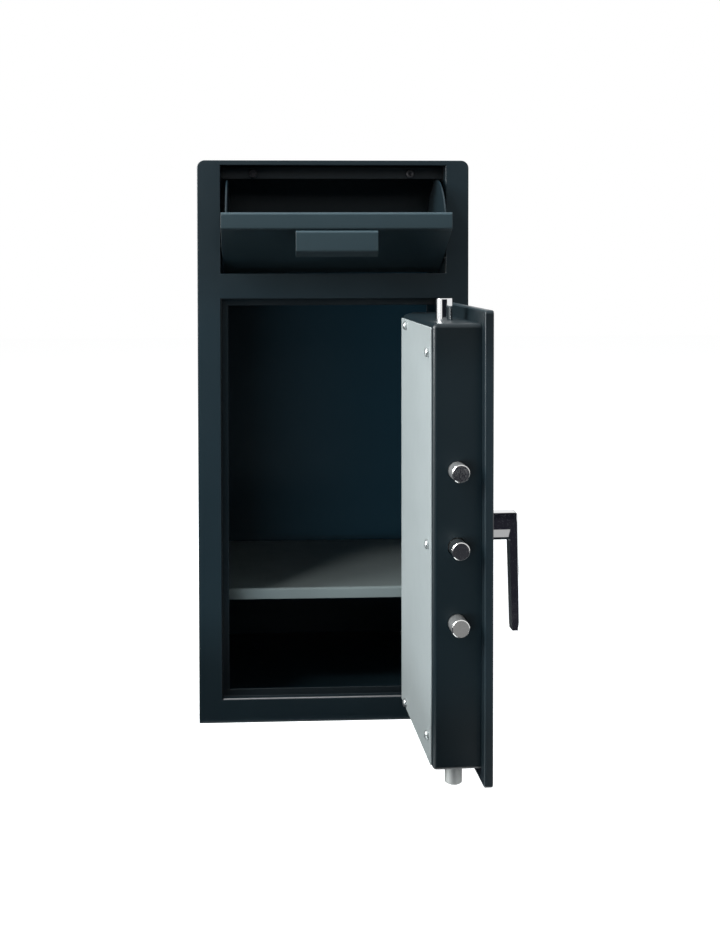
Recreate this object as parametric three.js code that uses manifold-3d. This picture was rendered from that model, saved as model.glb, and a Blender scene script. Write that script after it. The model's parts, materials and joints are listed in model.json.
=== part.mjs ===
// A drop safe: a tall steel cabinet with a tilting deposit hopper above a hinged, bolted door.
// Millimetres. X runs to the right, Y from front to back, Z up.
// The origin is the middle of the footprint, on the floor.
// The door and the hopper are drawn shut and then turned open about their own axes.

import * as THREE from "three";
import { mergeVertices } from "three/addons/utils/BufferGeometryUtils.js";
import Module from "manifold-3d";

// Cabinet
const cabinetWidth = 355;
const cabinetDepth = 355;
const cabinetHeight = 738;
const wall = 4;
const frontSheet = 4;
const cornerRadius = 10;
const stileWidth = 30;
const topRail = 6.5;
const hopperOpeningHeight = 141;
const middleRail = 32.5;
const bottomRail = 30.5;
const anchorRadius = 6.5;
const anchorInset = 70;

// Clearances
const seatGap = 0.3;
const doorGap = 3;
const flapGap = 2.5;
const jambGap = 4;
const runGap = 1;
const boltGap = 0.5;
const cutReach = 1;

// Door jamb and hinge
const jambSheet = 2.5;
const jambFlange = 9.5;
const hingeInset = 5;
const hingePinRadius = 2.5;
const hingePinReach = 12;
const hingePinChamfer = 0.5;
const hingeBlockHeight = 12;
const hingeBlockWidth = 22;
const hingeBlockDepth = 16;
const washerRadius = 4.5;
const doorOpenAngle = 92.2;

// Door plate, box and panel
const plateThickness = 10;
const boxMargin = 15;
const boxHingeMargin = 12;
const boxDepth = 54;
const boxSheet = 2;
const boxCornerRadius = 3;
const bevelWidth = 58;
const bevelDepth = 20;
const boxLedge = 28;
const panelMargin = 4.5;
const panelThickness = 1.5;
const panelScrewInset = 16;
const panelScrewRise = 28;
const farScrewInset = 35;
const farScrewRise = 7.5;
const screwHeadRadius = 4.5;
const screwHeadHeight = 2.4;
const screwRim = 0.5;
const screwRadius = 2;
const screwLength = 5;
const screwSlot = 1.2;
const screwSlotReach = 2.7;
const screwSlotDepth = 1.2;

// Bolt work
const sideBoltRadius = 10;
const sideBoltReach = 20;
const sideBoltSpacing = 84;
const sideBoltLift = 1;
const rodBoltRadius = 9.5;
const topBoltReach = 25;
const bottomBoltReach = 21.5;
const rodBoltLength = 45;
const boltChamfer = 1.5;
const sideThrow = 20;
const rodThrow = 22;
const carrierSheet = 3;
const carrierWidth = 13.5;
const armHeight = 20;
const guideArmDrop = 52;
const guideStudRadius = 3.5;
const studHeadRadius = 7;
const studHeadHeight = 1.5;
const slotWall = 6;
const rodWidth = 18;
const rodSheet = 3;
const lugLength = 24;
const lugWidth = 14;
const rodGuideDistance = 125;

// Handle and cam
const spindleInset = 63;
const spindleLift = 13;
const spindleRadius = 6;
const spindleCollarRadius = 10;
const spindleCollarHeight = 3;
const bushWall = 3;
const camSheet = 3;
const camPinRadius = 3.5;
const handleTurn = 45;
const roseRadius = 21;
const roseHeight = 3;
const roseChamfer = 1;
const neckHeight = 32;
const neckWidth = 22;
const leverStandoff = 31;
const leverThickness = 11.5;
const leverLength = 119.6;
const leverTipWidth = 19;
const leverSplay = 3;
const leverCornerRadius = 5;
const leverEdgeRadius = 2.5;
const spindleSocket = 14;

// Key lock
const lockRise = 55;
const lockCaseWidth = 44;
const lockCaseHeight = 40;
const lockCaseDepth = 15;
const keyholeRadius = 2.2;
const keyholeSlot = 2.4;
const keyholeDrop = 5;
const keyholeDepth = 7.5;
const escutcheonRadius = 15;
const escutcheonHeight = 2;
const escutcheonChamfer = 0.7;
const coverRadius = 10;
const coverSheet = 1.6;
const coverDrop = 10.5;
const coverPinRadius = 2;
const coverHeadRadius = 4;
const coverPinDepth = 3;

// Hopper
const hopperPivotInset = 25;
const hopperPivotRise = 37.8;
const hopperTurn = 63.4;
const hopperSheet = 2;
const flapRise = 3.5;
const flapHeight = 126.7;
const lipLength = 21;
const lipReturn = 8;
const bendRadius = 1.5;
const hopperSideInset = 5;
const hopperSideRadius = 85.5;
const trayLength = 84;
const traySlope = 22;
const pullWidth = 103;
const pullDrop = 24;
const pullCurl = 9;
const pullCurlAngle = 45;
const pullTab = 11;
const pullSheet = 2;
const pivotPinRadius = 4;
const pivotHeadRadius = 8;
const pivotHeadHeight = 3;
const spacerRadius = 9;

// Hopper housing in the cabinet
const cheekSheet = 2;
const cheekDrop = 14;
const headerDepth = 28.9;
const headerDrop = 15.5;
const headerFlange = 18;
const stopInset = 43;
const stopDrop = 9.3;
const stopRadius = 5.5;
const stopHeight = 5;
const stopChamfer = 0.9;
const baffleClearance = 5;
const baffleStopReach = 17.5;
const baffleStopInset = 12;

// Shelf
const shelfTop = 155;
const shelfSheet = 2;
const shelfLip = 15;
const shelfSetback = 80;
const shelfSideGap = 1;
const ledgeWidth = 20;
const ledgeSheet = 3;

// Roundness of the facets
const roundSegments = 28;
const curveSteps = 14;
const domeSteps = 4;
const chordError = 0.12;
const slotRoundness = 0.98;

// Places that follow from the sizes above
const halfWidth = cabinetWidth / 2;
const frontY = -cabinetDepth / 2;
const backY = cabinetDepth / 2;
const sheetBackY = frontY + frontSheet;
const innerHalfWidth = halfWidth - wall;
const innerTop = cabinetHeight - wall;
const openingHalf = halfWidth - stileWidth;
const hopperTopZ = cabinetHeight - topRail;
const hopperSillZ = hopperTopZ - hopperOpeningHeight;
const doorTopZ = hopperSillZ - middleRail;
const doorBottomZ = bottomRail;

const plateLeft = -openingHalf + doorGap;
const plateRight = openingHalf - doorGap;
const plateBottom = doorBottomZ + doorGap;
const plateTop = doorTopZ - doorGap;
const plateBackY = frontY + plateThickness;
const jambFlangeY = plateBackY + jambGap;
const hingeX = plateRight - hingeInset;
const hingeY = frontY + hingeInset;
const doorMiddleZ = (doorTopZ + doorBottomZ) / 2;

const boxLeft = plateLeft + boxMargin;
const boxRight = plateRight - boxHingeMargin;
const boxBottom = plateBottom + boxMargin;
const boxTop = plateTop - boxMargin;
const boxBackY = plateBackY + boxDepth;
const bevelStart = boxRight - bevelWidth;
const panelLeft = boxLeft + panelMargin;
const panelRight = bevelStart - runGap;
const panelY = boxBackY + seatGap;
const panelBottom = boxBottom + panelMargin;
const panelTop = boxTop - panelMargin;

const boltY = plateBackY + boxDepth / 2;
const spindleX = plateLeft + spindleInset;
const spindleZ = doorMiddleZ + spindleLift;
const halfTurn = THREE.MathUtils.degToRad(handleTurn / 2);
const sidePinCircle = sideThrow / (2 * Math.sin(halfTurn));
const rodPinCircle = rodThrow / (2 * Math.sin(halfTurn));
const rodOffset = (rodPinCircle * (1 + Math.cos(halfTurn))) / 2;
const rodPinSway = (rodPinCircle * (1 - Math.cos(halfTurn))) / 2;
const sidePinHeight = (sidePinCircle * (1 + Math.cos(halfTurn))) / 2;
const sidePinSway = (sidePinCircle * (1 - Math.cos(halfTurn))) / 2;
const carrierY = boltY - carrierSheet / 2;
const camY = boltY + sideBoltRadius + runGap;
const rodY = camY + camSheet + runGap;
const rodBackY = rodY + rodSheet;
const carrierLeft = boxLeft + boxSheet + runGap;
const carrierRight = carrierLeft + carrierWidth;
const topRodX = spindleX + rodOffset;
const bottomRodX = spindleX - rodOffset;
const topPinZ = spindleZ + rodThrow / 2;
const bottomPinZ = spindleZ - rodThrow / 2;
const sideBoltHeights = [1, 0, -1].map((step) => doorMiddleZ + sideBoltLift + step * sideBoltSpacing);
const camArmZ = spindleZ + sidePinHeight;
const guideArmZ = spindleZ - guideArmDrop;
const upperStudX = spindleX + sideThrow / 2 + camPinRadius + slotWall + guideStudRadius + runGap;
const lowerStudX = carrierRight + runGap + guideStudRadius + sideThrow;

const lockZ = spindleZ + lockRise;
const coverPivotZ = lockZ + coverDrop;
const coverPinTip = frontY + coverPinDepth;

const hopperY = frontY + hopperPivotInset;
const hopperZ = hopperSillZ + hopperPivotRise;
const flapHalf = openingHalf - flapGap;
const flapFrontY = frontY + seatGap;
const flapBottomZ = hopperSillZ + flapRise;
const hopperSideX = flapHalf - hopperSideInset;
const cheekX = openingHalf;
const headerY = frontY + headerDepth;
const baffleY = hopperY + hopperSideRadius + baffleClearance;
const shelfFrontY = frontY + shelfSetback;

const wasm = await Module();
wasm.setup();

const charcoal = new THREE.MeshStandardMaterial({ color: 0x23303a, roughness: 0.45, metalness: 0.1 });
const innerGrey = new THREE.MeshStandardMaterial({ color: 0x8f9a9c, roughness: 0.5, metalness: 0.1 });
const paleGrey = new THREE.MeshStandardMaterial({ color: 0xbcc5c6, roughness: 0.5, metalness: 0.1 });
const chrome = new THREE.MeshStandardMaterial({ color: 0xd5d9dc, roughness: 0.12, metalness: 1 });
const zinc = new THREE.MeshStandardMaterial({ color: 0xb4b8b6, roughness: 0.35, metalness: 0.9 });
const rubber = new THREE.MeshStandardMaterial({ color: 0x2a2c2e, roughness: 0.8, metalness: 0 });
const brass = new THREE.MeshStandardMaterial({ color: 0xb08d4f, roughness: 0.35, metalness: 0.9 });

// Solids

function toSolid(geometry) {
  const bare = geometry.clone();
  bare.deleteAttribute("normal");
  bare.deleteAttribute("uv");
  const merged = mergeVertices(bare);
  const triangles = [];
  for (let i = 0; i < merged.index.count; i += 3) {
    const [a, b, c] = merged.index.array.slice(i, i + 3);
    if (a !== b && b !== c && c !== a) {
      triangles.push(a, b, c);
    }
  }
  const vertProperties = new Float32Array(merged.attributes.position.array);
  const triVerts = new Uint32Array(triangles);
  return new wasm.Manifold(new wasm.Mesh({ numProp: 3, vertProperties, triVerts }));
}

function toGeometry(solid) {
  const { vertProperties, triVerts } = solid.getMesh();
  const geometry = new THREE.BufferGeometry();
  geometry.setAttribute("position", new THREE.BufferAttribute(vertProperties, 3));
  geometry.setIndex(new THREE.BufferAttribute(triVerts, 1));
  geometry.computeVertexNormals();
  return geometry;
}

function block([x0, x1], [y0, y1], [z0, z1]) {
  const geometry = new THREE.BoxGeometry(x1 - x0, y1 - y0, z1 - z0);
  geometry.translate((x0 + x1) / 2, (y0 + y1) / 2, (z0 + z1) / 2);
  return toSolid(geometry);
}

const xAxis = new THREE.Vector3(1, 0, 0);
const yAxis = new THREE.Vector3(0, 1, 0);
const zAxis = new THREE.Vector3(0, 0, 1);

// A shape's own axes a and b, and the way it is extruded, for each direction.
const extrudeFrames = {
  x: new THREE.Matrix4().makeBasis(yAxis, zAxis, xAxis),
  y: new THREE.Matrix4().makeBasis(xAxis, zAxis, yAxis.clone().negate()),
  z: new THREE.Matrix4(),
};

// Extrudes a shape along an axis. The shape is drawn in (Y, Z) for x, (X, Z) for y and (X, Y) for z.
function extrude(shape, direction, [from, to]) {
  const geometry = new THREE.ExtrudeGeometry(shape, {
    depth: to - from,
    bevelEnabled: false,
    curveSegments: curveSteps,
  });
  geometry.applyMatrix4(extrudeFrames[direction]);
  const start = { x: [from, 0, 0], y: [0, to, 0], z: [0, 0, from] }[direction];
  geometry.translate(...start);
  return toSolid(geometry);
}

// A lathe's own axis is Y: these turn it to the axis that is asked for.
const turnFrames = {
  x: new THREE.Matrix4().makeBasis(yAxis, xAxis, zAxis.clone().negate()),
  y: new THREE.Matrix4(),
  z: new THREE.Matrix4().makeBasis(yAxis, zAxis, xAxis),
};

// Turns a profile of [radius, height] points, lowest first, about an axis through centre.
function turned(profile, direction, centre) {
  const points = profile.map(([radius, height]) => new THREE.Vector2(radius, height));
  const geometry = new THREE.LatheGeometry(points, roundSegments);
  geometry.applyMatrix4(turnFrames[direction]);
  geometry.translate(...centre);
  return toSolid(geometry);
}

function rod(radius, direction, centre, [from, to], chamfer = 0) {
  const end = Math.min(chamfer, radius / 2);
  const plain = [[radius, from], [radius, to]];
  const chamfered = [[radius - end, from], [radius, from + end], [radius, to - end], [radius - end, to]];
  return turned([[0, from], ...(end > 0 ? chamfered : plain), [0, to]], direction, centre);
}

function arcPoints(centre, radius, fromAngle, toAngle) {
  const step = 2 * Math.acos(1 - Math.min(chordError / radius, 1 / 2));
  const steps = Math.max(1, Math.ceil(Math.abs(toAngle - fromAngle) / step));
  return Array.from({ length: steps + 1 }, (_, i) => {
    const angle = fromAngle + ((toAngle - fromAngle) * i) / steps;
    return new THREE.Vector2(centre.x + radius * Math.cos(angle), centre.y + radius * Math.sin(angle));
  });
}

// An outline through corners [a, b, radius]: a corner that has a radius is rounded.
function outline(corners) {
  const points = corners.flatMap(([a, b, radius = 0], i) => {
    const here = new THREE.Vector2(a, b);
    if (radius === 0) {
      return [here];
    }
    const before = new THREE.Vector2(...corners.at(i - 1).slice(0, 2)).sub(here).normalize();
    const after = new THREE.Vector2(...corners[(i + 1) % corners.length].slice(0, 2)).sub(here).normalize();
    const half = Math.acos(before.dot(after)) / 2;
    const centre = before.clone().add(after).normalize().multiplyScalar(radius / Math.sin(half)).add(here);
    const start = here.clone().addScaledVector(before, radius / Math.tan(half)).sub(centre).angle();
    const end = here.clone().addScaledVector(after, radius / Math.tan(half)).sub(centre).angle();
    const sweep = THREE.MathUtils.euclideanModulo(end - start + Math.PI, 2 * Math.PI) - Math.PI;
    return arcPoints(centre, radius, start, start + sweep);
  });
  return new THREE.Shape(points);
}

// The outline of a bent sheet: its outer face runs through the points, its thickness lies to the right.
function sheetOutline(face, thickness, radius) {
  const line = face.map(([a, b]) => new THREE.Vector2(a, b));
  const right = (i) => {
    const along = line[i + 1].clone().sub(line[i]).normalize();
    return new THREE.Vector2(along.y, -along.x);
  };
  const inner = line.map((point, i) => {
    const first = right(Math.max(i - 1, 0));
    const second = right(Math.min(i, line.length - 2));
    const mitre = first.clone().add(second).normalize();
    return mitre.clone().multiplyScalar(thickness / mitre.dot(first)).add(point);
  });
  const turn = (i) => Math.sign(right(i - 1).cross(right(i)));
  const bend = (i, side) => {
    if (i === 0 || i === line.length - 1) {
      return 0;
    }
    return turn(i) === side ? radius : radius + thickness;
  };
  const outerSide = line.map((point, i) => [point.x, point.y, bend(i, 1)]);
  const innerSide = inner.map((point, i) => [point.x, point.y, bend(i, -1)]);
  return outline([...outerSide, ...innerSide.reverse()]);
}

function rectangle([a0, a1], [b0, b1], radius = 0) {
  return outline([[a0, b0, radius], [a1, b0, radius], [a1, b1, radius], [a0, b1, radius]]);
}

function slot([x0, x1], [z0, z1], [y0, y1]) {
  const radius = (slotRoundness * Math.min(x1 - x0, z1 - z0)) / 2;
  return extrude(rectangle([x0, x1], [z0, z1], radius), "y", [y0, y1]);
}

function addPart(group, name, solid, material) {
  const mesh = new THREE.Mesh(toGeometry(solid), material);
  mesh.name = name;
  group.add(mesh);
}

// Cabinet

// The cabinet's outer shape seen from the front, shrunk by an inset.
function cabinetOutline(inset, bottomInset) {
  const x = halfWidth - inset;
  const top = cabinetHeight - inset;
  const radius = Math.max(cornerRadius - inset, 0);
  return outline([[-x, bottomInset], [x, bottomInset], [x, top, radius], [-x, top, radius]]);
}

function cabinetWrap() {
  const outside = extrude(cabinetOutline(0, 0), "y", [sheetBackY, backY]);
  const inside = extrude(cabinetOutline(wall, -cutReach), "y", [sheetBackY - cutReach, backY + cutReach]);
  return outside.subtract(inside);
}

function backPanel() {
  return extrude(cabinetOutline(wall + seatGap, wall + seatGap), "y", [backY - wall, backY]);
}

function basePanel() {
  const x = innerHalfWidth - seatGap;
  const anchorX = innerHalfWidth - anchorInset;
  const anchorRows = [sheetBackY + anchorInset, backY - anchorInset];
  const anchors = [-anchorX, anchorX].flatMap((holeX) => anchorRows.map((holeY) => {
    return rod(anchorRadius, "z", [holeX, holeY, 0], [-cutReach, wall + cutReach]);
  }));
  const floor = block([-x, x], [sheetBackY, backY], [0, wall]);
  return anchors.reduce((plate, hole) => plate.subtract(hole), floor);
}

function hingeBore() {
  return rod(hingePinRadius + seatGap, "z", [hingeX, hingeY, 0], [0, cabinetHeight]);
}

function frontFrame() {
  const face = cabinetOutline(0, 0);
  for (const heights of [[hopperSillZ, hopperTopZ], [doorBottomZ, doorTopZ]]) {
    face.holes.push(new THREE.Path(rectangle([-openingHalf, openingHalf], heights).getPoints()));
  }
  const pocketReach = jambSheet + hingeBlockHeight + seatGap;
  const pockets = hingeBore().intersect(block(
    [hingeX - hingeBlockWidth, hingeX + hingeBlockWidth],
    [frontY, plateBackY],
    [doorBottomZ - pocketReach, doorTopZ + pocketReach],
  ));
  return extrude(face, "y", [frontY, sheetBackY]).subtract(pockets);
}

function doorJamb() {
  const out = openingHalf + jambSheet;
  const flange = openingHalf - jambFlange;
  const ringHeights = [doorBottomZ - jambSheet, doorTopZ + jambSheet];
  const ring = block([-out, out], [sheetBackY, jambFlangeY + jambSheet], ringHeights);
  const rebate = block([-openingHalf, openingHalf], [frontY, jambFlangeY], [doorBottomZ, doorTopZ]);
  const way = block([-flange, flange], [frontY, backY], [doorBottomZ + jambFlange, doorTopZ - jambFlange]);
  return ring.subtract(rebate).subtract(way).subtract(hingeBore());
}

function hingeBlock([bottom, top]) {
  const left = hingeX - hingeBlockWidth / 2;
  const depth = [sheetBackY, sheetBackY + hingeBlockDepth];
  return block([left, left + hingeBlockWidth], depth, [bottom, top]).subtract(hingeBore());
}

function hingePin([bottom, top]) {
  return rod(hingePinRadius, "z", [hingeX, hingeY, 0], [bottom, top], hingePinChamfer);
}

function hingeWasher() {
  const inner = hingePinRadius + seatGap;
  const [bottom, top] = [doorBottomZ + seatGap, plateBottom - seatGap];
  const ring = rod(washerRadius, "z", [hingeX, hingeY, 0], [bottom, top]);
  return ring.subtract(rod(inner, "z", [hingeX, hingeY, 0], [bottom - seatGap, top + seatGap]));
}

function shelf() {
  const x = innerHalfWidth - shelfSideGap;
  const shelfBackY = backY - wall - shelfSideGap;
  const deck = [[shelfFrontY, shelfTop - shelfLip], [shelfFrontY, shelfTop], [shelfBackY, shelfTop]];
  return extrude(sheetOutline(deck, shelfSheet, bendRadius), "x", [-x, x]);
}

function shelfLedge(side) {
  const corner = side * (innerHalfWidth - seatGap);
  const deck = shelfTop - shelfSheet - seatGap;
  const [wallSide, inside] = [corner - side * ledgeSheet, corner - side * ledgeWidth];
  const angle = outline([
    [corner, deck],
    [inside, deck],
    [inside, deck - ledgeSheet],
    [wallSide, deck - ledgeSheet],
    [wallSide, deck - ledgeWidth],
    [corner, deck - ledgeWidth],
  ]);
  return extrude(angle, "y", [shelfFrontY + shelfLip, backY - wall - seatGap]);
}

// Hopper housing

function cheek(side) {
  const [near, far] = [cheekX, cheekX + cheekSheet];
  const plate = block(
    side > 0 ? [near, far] : [-far, -near],
    [sheetBackY, baffleY + hopperSheet],
    [hopperSillZ - cheekDrop, innerTop - seatGap],
  );
  const bore = rod(pivotPinRadius + seatGap, "x", [0, hopperY, hopperZ], [-halfWidth, halfWidth]);
  return plate.subtract(bore);
}

function pivotPin(side) {
  const inside = hopperSideX - hopperSheet - seatGap - pivotHeadHeight;
  const outside = cheekX + cheekSheet + pivotHeadHeight;
  const profile = [
    [0, inside],
    [pivotHeadRadius, inside],
    [pivotHeadRadius, inside + pivotHeadHeight],
    [pivotPinRadius, inside + pivotHeadHeight],
    [pivotPinRadius, outside],
    [0, outside],
  ];
  const pin = turned(profile, "x", [0, 0, 0]);
  const placed = side > 0 ? pin : pin.rotate([0, 0, 180]);
  return placed.translate([0, hopperY, hopperZ]);
}

function pivotSpacer(side) {
  const span = [hopperSideX + seatGap, cheekX - seatGap];
  const placed = side > 0 ? span : [-span[1], -span[0]];
  const ring = rod(spacerRadius, "x", [0, hopperY, hopperZ], placed);
  const bore = rod(pivotPinRadius + seatGap, "x", [0, hopperY, hopperZ], [-halfWidth, halfWidth]);
  return ring.subtract(bore);
}

function hopperHeader() {
  const x = cheekX - seatGap;
  const top = innerTop - seatGap;
  const face = [[headerY, hopperTopZ - headerDrop], [headerY, top], [headerY + headerFlange, top]];
  return extrude(sheetOutline(face, hopperSheet, bendRadius), "x", [-x, x]);
}

function bumpStop(side) {
  const place = [side * (openingHalf - stopInset), headerY - seatGap, hopperTopZ - stopDrop];
  return rod(stopRadius, "y", place, [-stopHeight, 0], stopChamfer);
}

// The highest point that the tray's back edge reaches with the hopper open.
function trayStopHeight() {
  const tip = trayPoint(trayLength, hopperSheet).sub(new THREE.Vector2(hopperY, hopperZ));
  return hopperZ + tip.rotateAround(new THREE.Vector2(), THREE.MathUtils.degToRad(hopperTurn)).y;
}

function fishingBaffle() {
  const x = cheekX - seatGap;
  const bottom = trayStopHeight() + seatGap;
  const curtain = block([-x, x], [baffleY, baffleY + hopperSheet], [bottom, innerTop - seatGap]);
  const stopHalf = hopperSideX - baffleStopInset;
  const flangeDepth = [baffleY - baffleStopReach, baffleY];
  const flange = block([-stopHalf, stopHalf], flangeDepth, [bottom, bottom + hopperSheet]);
  return curtain.add(flange);
}

// Hopper, drawn shut

function flapCorners() {
  const lean = THREE.MathUtils.degToRad(hopperTurn);
  const bend = [flapFrontY, flapBottomZ + flapHeight];
  const lip = [bend[0] + lipLength * Math.sin(lean), bend[1] + lipLength * Math.cos(lean)];
  const hem = [lip[0] + lipReturn * Math.cos(lean), lip[1] - lipReturn * Math.sin(lean)];
  return { foot: [flapFrontY, flapBottomZ], bend, lip, hem };
}

function hopperFlap() {
  const { foot, bend, lip, hem } = flapCorners();
  return extrude(sheetOutline([foot, bend, lip, hem], hopperSheet, bendRadius), "x", [-flapHalf, flapHalf]);
}

// A point on the tray, so far along it from the flap and so far above its underside.
function trayPoint(along, above) {
  const slope = THREE.MathUtils.degToRad(traySlope);
  const start = new THREE.Vector2(flapFrontY + hopperSheet + seatGap, flapBottomZ);
  return start.add(new THREE.Vector2(
    along * Math.cos(slope) + above * Math.sin(slope),
    -along * Math.sin(slope) + above * Math.cos(slope),
  ));
}

function hopperTray() {
  const x = hopperSideX - hopperSheet - seatGap;
  const corners = [[0, 0], [trayLength, 0], [trayLength, hopperSheet], [0, hopperSheet]];
  const section = corners.map(([along, above]) => trayPoint(along, above));
  return extrude(new THREE.Shape(section), "x", [-x, x]);
}

// A side of the hopper: it follows the flap, then an arc about the pivot, then the tray's back.
function hopperSide(side) {
  const front = flapFrontY + hopperSheet + seatGap - hopperY;
  const tray = trayPoint(trayLength, hopperSheet).sub(new THREE.Vector2(hopperY, hopperZ));
  const foot = trayPoint(0, 0).sub(new THREE.Vector2(hopperY, hopperZ));
  const heel = trayPoint(trayLength, 0).sub(new THREE.Vector2(hopperY, hopperZ));
  const topAngle = Math.acos(front / hopperSideRadius);
  const arc = arcPoints(new THREE.Vector2(), hopperSideRadius, topAngle, tray.angle() - 2 * Math.PI);
  const points = [foot, ...arc.slice(0, -1), tray, heel];
  const section = points.map((point) => point.add(new THREE.Vector2(hopperY, hopperZ)));
  const [near, far] = [hopperSideX - hopperSheet, hopperSideX];
  const plate = extrude(new THREE.Shape(section), "x", side > 0 ? [near, far] : [-far, -near]);
  return plate.subtract(rod(pivotPinRadius + seatGap, "x", [0, hopperY, hopperZ], [-halfWidth, halfWidth]));
}

// The finger pull: a tab on the flap below its bend, a plate that stands out, and a curled edge.
function flapPull() {
  const lean = THREE.MathUtils.degToRad(hopperTurn);
  const curl = lean - THREE.MathUtils.degToRad(pullCurlAngle);
  const { bend } = flapCorners();
  const faceY = bend[0] - seatGap - pullSheet;
  const top = bend[1] - bendRadius;
  const tip = [faceY - pullDrop * Math.sin(lean), top - pullDrop * Math.cos(lean)];
  const end = [tip[0] - pullCurl * Math.sin(curl), tip[1] - pullCurl * Math.cos(curl)];
  const section = sheetOutline([[faceY, top - pullTab], [faceY, top], tip, end], pullSheet, bendRadius);
  return extrude(section, "x", [-pullWidth / 2, pullWidth / 2]);
}

// Door, drawn shut

function doorPlate() {
  const plate = block([plateLeft, plateRight], [frontY, plateBackY], [plateBottom, plateTop]);
  const pinDepth = hingePinReach + seatGap;
  const topSocket = [plateTop - pinDepth, plateTop + cutReach];
  const bottomSocket = [plateBottom - cutReach, plateBottom + pinDepth];
  const pinHoles = [topSocket, bottomSocket].map((span) => {
    return rod(hingePinRadius + seatGap, "z", [hingeX, hingeY, 0], span);
  });
  const through = [frontY - cutReach, plateBackY + cutReach];
  const bushHole = rod(bushRadius() + seatGap, "y", [spindleX, 0, spindleZ], through);
  const cuts = [...pinHoles, bushHole, coverPinBore(), keyhole()];
  return cuts.reduce((solid, cut) => solid.subtract(cut), plate);
}

function bushRadius() {
  return spindleRadius + seatGap + bushWall;
}

function spindleBore() {
  return rod(spindleRadius + seatGap, "y", [spindleX, 0, spindleZ], [frontY - cabinetDepth, backY]);
}

// The box's plan, shrunk by an inset, with its bevel on the hinge side.
function boxPlan(inset, radius, front) {
  const bevel = Math.atan2(bevelDepth, bevelWidth);
  const [left, right, back] = [boxLeft + inset, boxRight - inset, boxBackY - inset];
  const shoulder = back - bevelDepth + inset - inset * Math.tan((Math.PI / 2 - bevel) / 2);
  return outline([
    [left, front],
    [right, front],
    [right, shoulder, radius],
    [bevelStart - inset * Math.tan(bevel / 2), back, radius],
    [left, back, radius],
  ]);
}

function doorBox() {
  const front = plateBackY + seatGap;
  const side = outline([
    [front, boxBottom],
    [front, boxTop],
    [boxBackY, boxTop, boxCornerRadius],
    [boxBackY, boxBottom, boxCornerRadius],
  ]);
  const shell = extrude(boxPlan(0, boxCornerRadius, front), "z", [boxBottom, boxTop]);
  const outside = shell.intersect(extrude(side, "x", [boxLeft - cutReach, boxRight + cutReach]));
  const hollow = boxPlan(boxSheet, boxCornerRadius - boxSheet, plateBackY);
  const inside = extrude(hollow, "z", [boxBottom + boxSheet, boxTop - boxSheet]);
  const throughBack = [boxBackY - boxSheet - cutReach, boxBackY + cutReach];
  const hatch = block(
    [boxLeft + boxLedge, bevelStart - boxLedge],
    throughBack,
    [boxBottom + boxLedge, boxTop - boxLedge],
  );
  const throughSide = [boxLeft - cutReach, boxLeft + boxSheet + cutReach];
  const throughTop = [boxTop - boxSheet - cutReach, boxTop + cutReach];
  const throughBottom = [boxBottom - cutReach, boxBottom + boxSheet + cutReach];
  const sideHoles = sideBoltHeights.map((z) => {
    return rod(sideBoltRadius + boltGap, "x", [0, boltY, z], throughSide);
  });
  const topHole = rod(rodBoltRadius + boltGap, "z", [topRodX, boltY, 0], throughTop);
  const bottomHole = rod(rodBoltRadius + boltGap, "z", [bottomRodX, boltY, 0], throughBottom);
  const screwHoles = panelScrewPlaces().map(([x, z]) => {
    return rod(screwRadius + seatGap, "y", [x, 0, z], throughBack);
  });
  const cuts = [inside, hatch, ...sideHoles, topHole, bottomHole, ...screwHoles];
  return cuts.reduce((solid, cut) => solid.subtract(cut), outside);
}

// Three screws down the lock side, two at the far corners.
function panelScrewPlaces() {
  const near = panelLeft + panelScrewInset;
  const far = panelRight - farScrewInset;
  return [
    [near, panelTop - panelScrewRise],
    [near, doorMiddleZ],
    [near, panelBottom + panelScrewRise],
    [far, panelTop - farScrewRise],
    [far, panelBottom + farScrewRise],
  ];
}

function servicePanel() {
  const sheet = block([panelLeft, panelRight], [panelY, panelY + panelThickness], [panelBottom, panelTop]);
  const holes = panelScrewPlaces().map(([x, z]) => {
    return rod(screwRadius + seatGap, "y", [x, 0, z], [boxBackY, panelY + panelThickness + cutReach]);
  });
  return holes.reduce((solid, hole) => solid.subtract(hole), sheet);
}

function panelScrew([x, z]) {
  const seat = panelY + panelThickness + seatGap;
  const dome = Array.from({ length: domeSteps }, (_, i) => {
    const angle = (Math.PI / 2) * (i / domeSteps);
    return [screwHeadRadius * Math.cos(angle), screwRim + (screwHeadHeight - screwRim) * Math.sin(angle)];
  });
  const shank = [[0, -screwLength], [screwRadius, -screwLength], [screwRadius, 0], [screwHeadRadius, 0]];
  const profile = [...shank, ...dome, [0, screwHeadHeight]];
  const half = screwSlot / 2;
  const depth = [seat + screwHeadHeight - screwSlotDepth, seat + screwHeadHeight + cutReach];
  const across = block([x - screwSlotReach, x + screwSlotReach], depth, [z - half, z + half]);
  const upright = block([x - half, x + half], depth, [z - screwSlotReach, z + screwSlotReach]);
  return turned(profile, "y", [x, seat, z]).subtract(across).subtract(upright);
}

// Handle, cam and lock

function spindleBush() {
  return rod(bushRadius(), "y", [spindleX, 0, spindleZ], [frontY, plateBackY]).subtract(spindleBore());
}

function handleRose() {
  const span = [frontY - seatGap - roseHeight, frontY - seatGap];
  return rod(roseRadius, "y", [spindleX, 0, spindleZ], span, roseChamfer).subtract(spindleBore());
}

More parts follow.
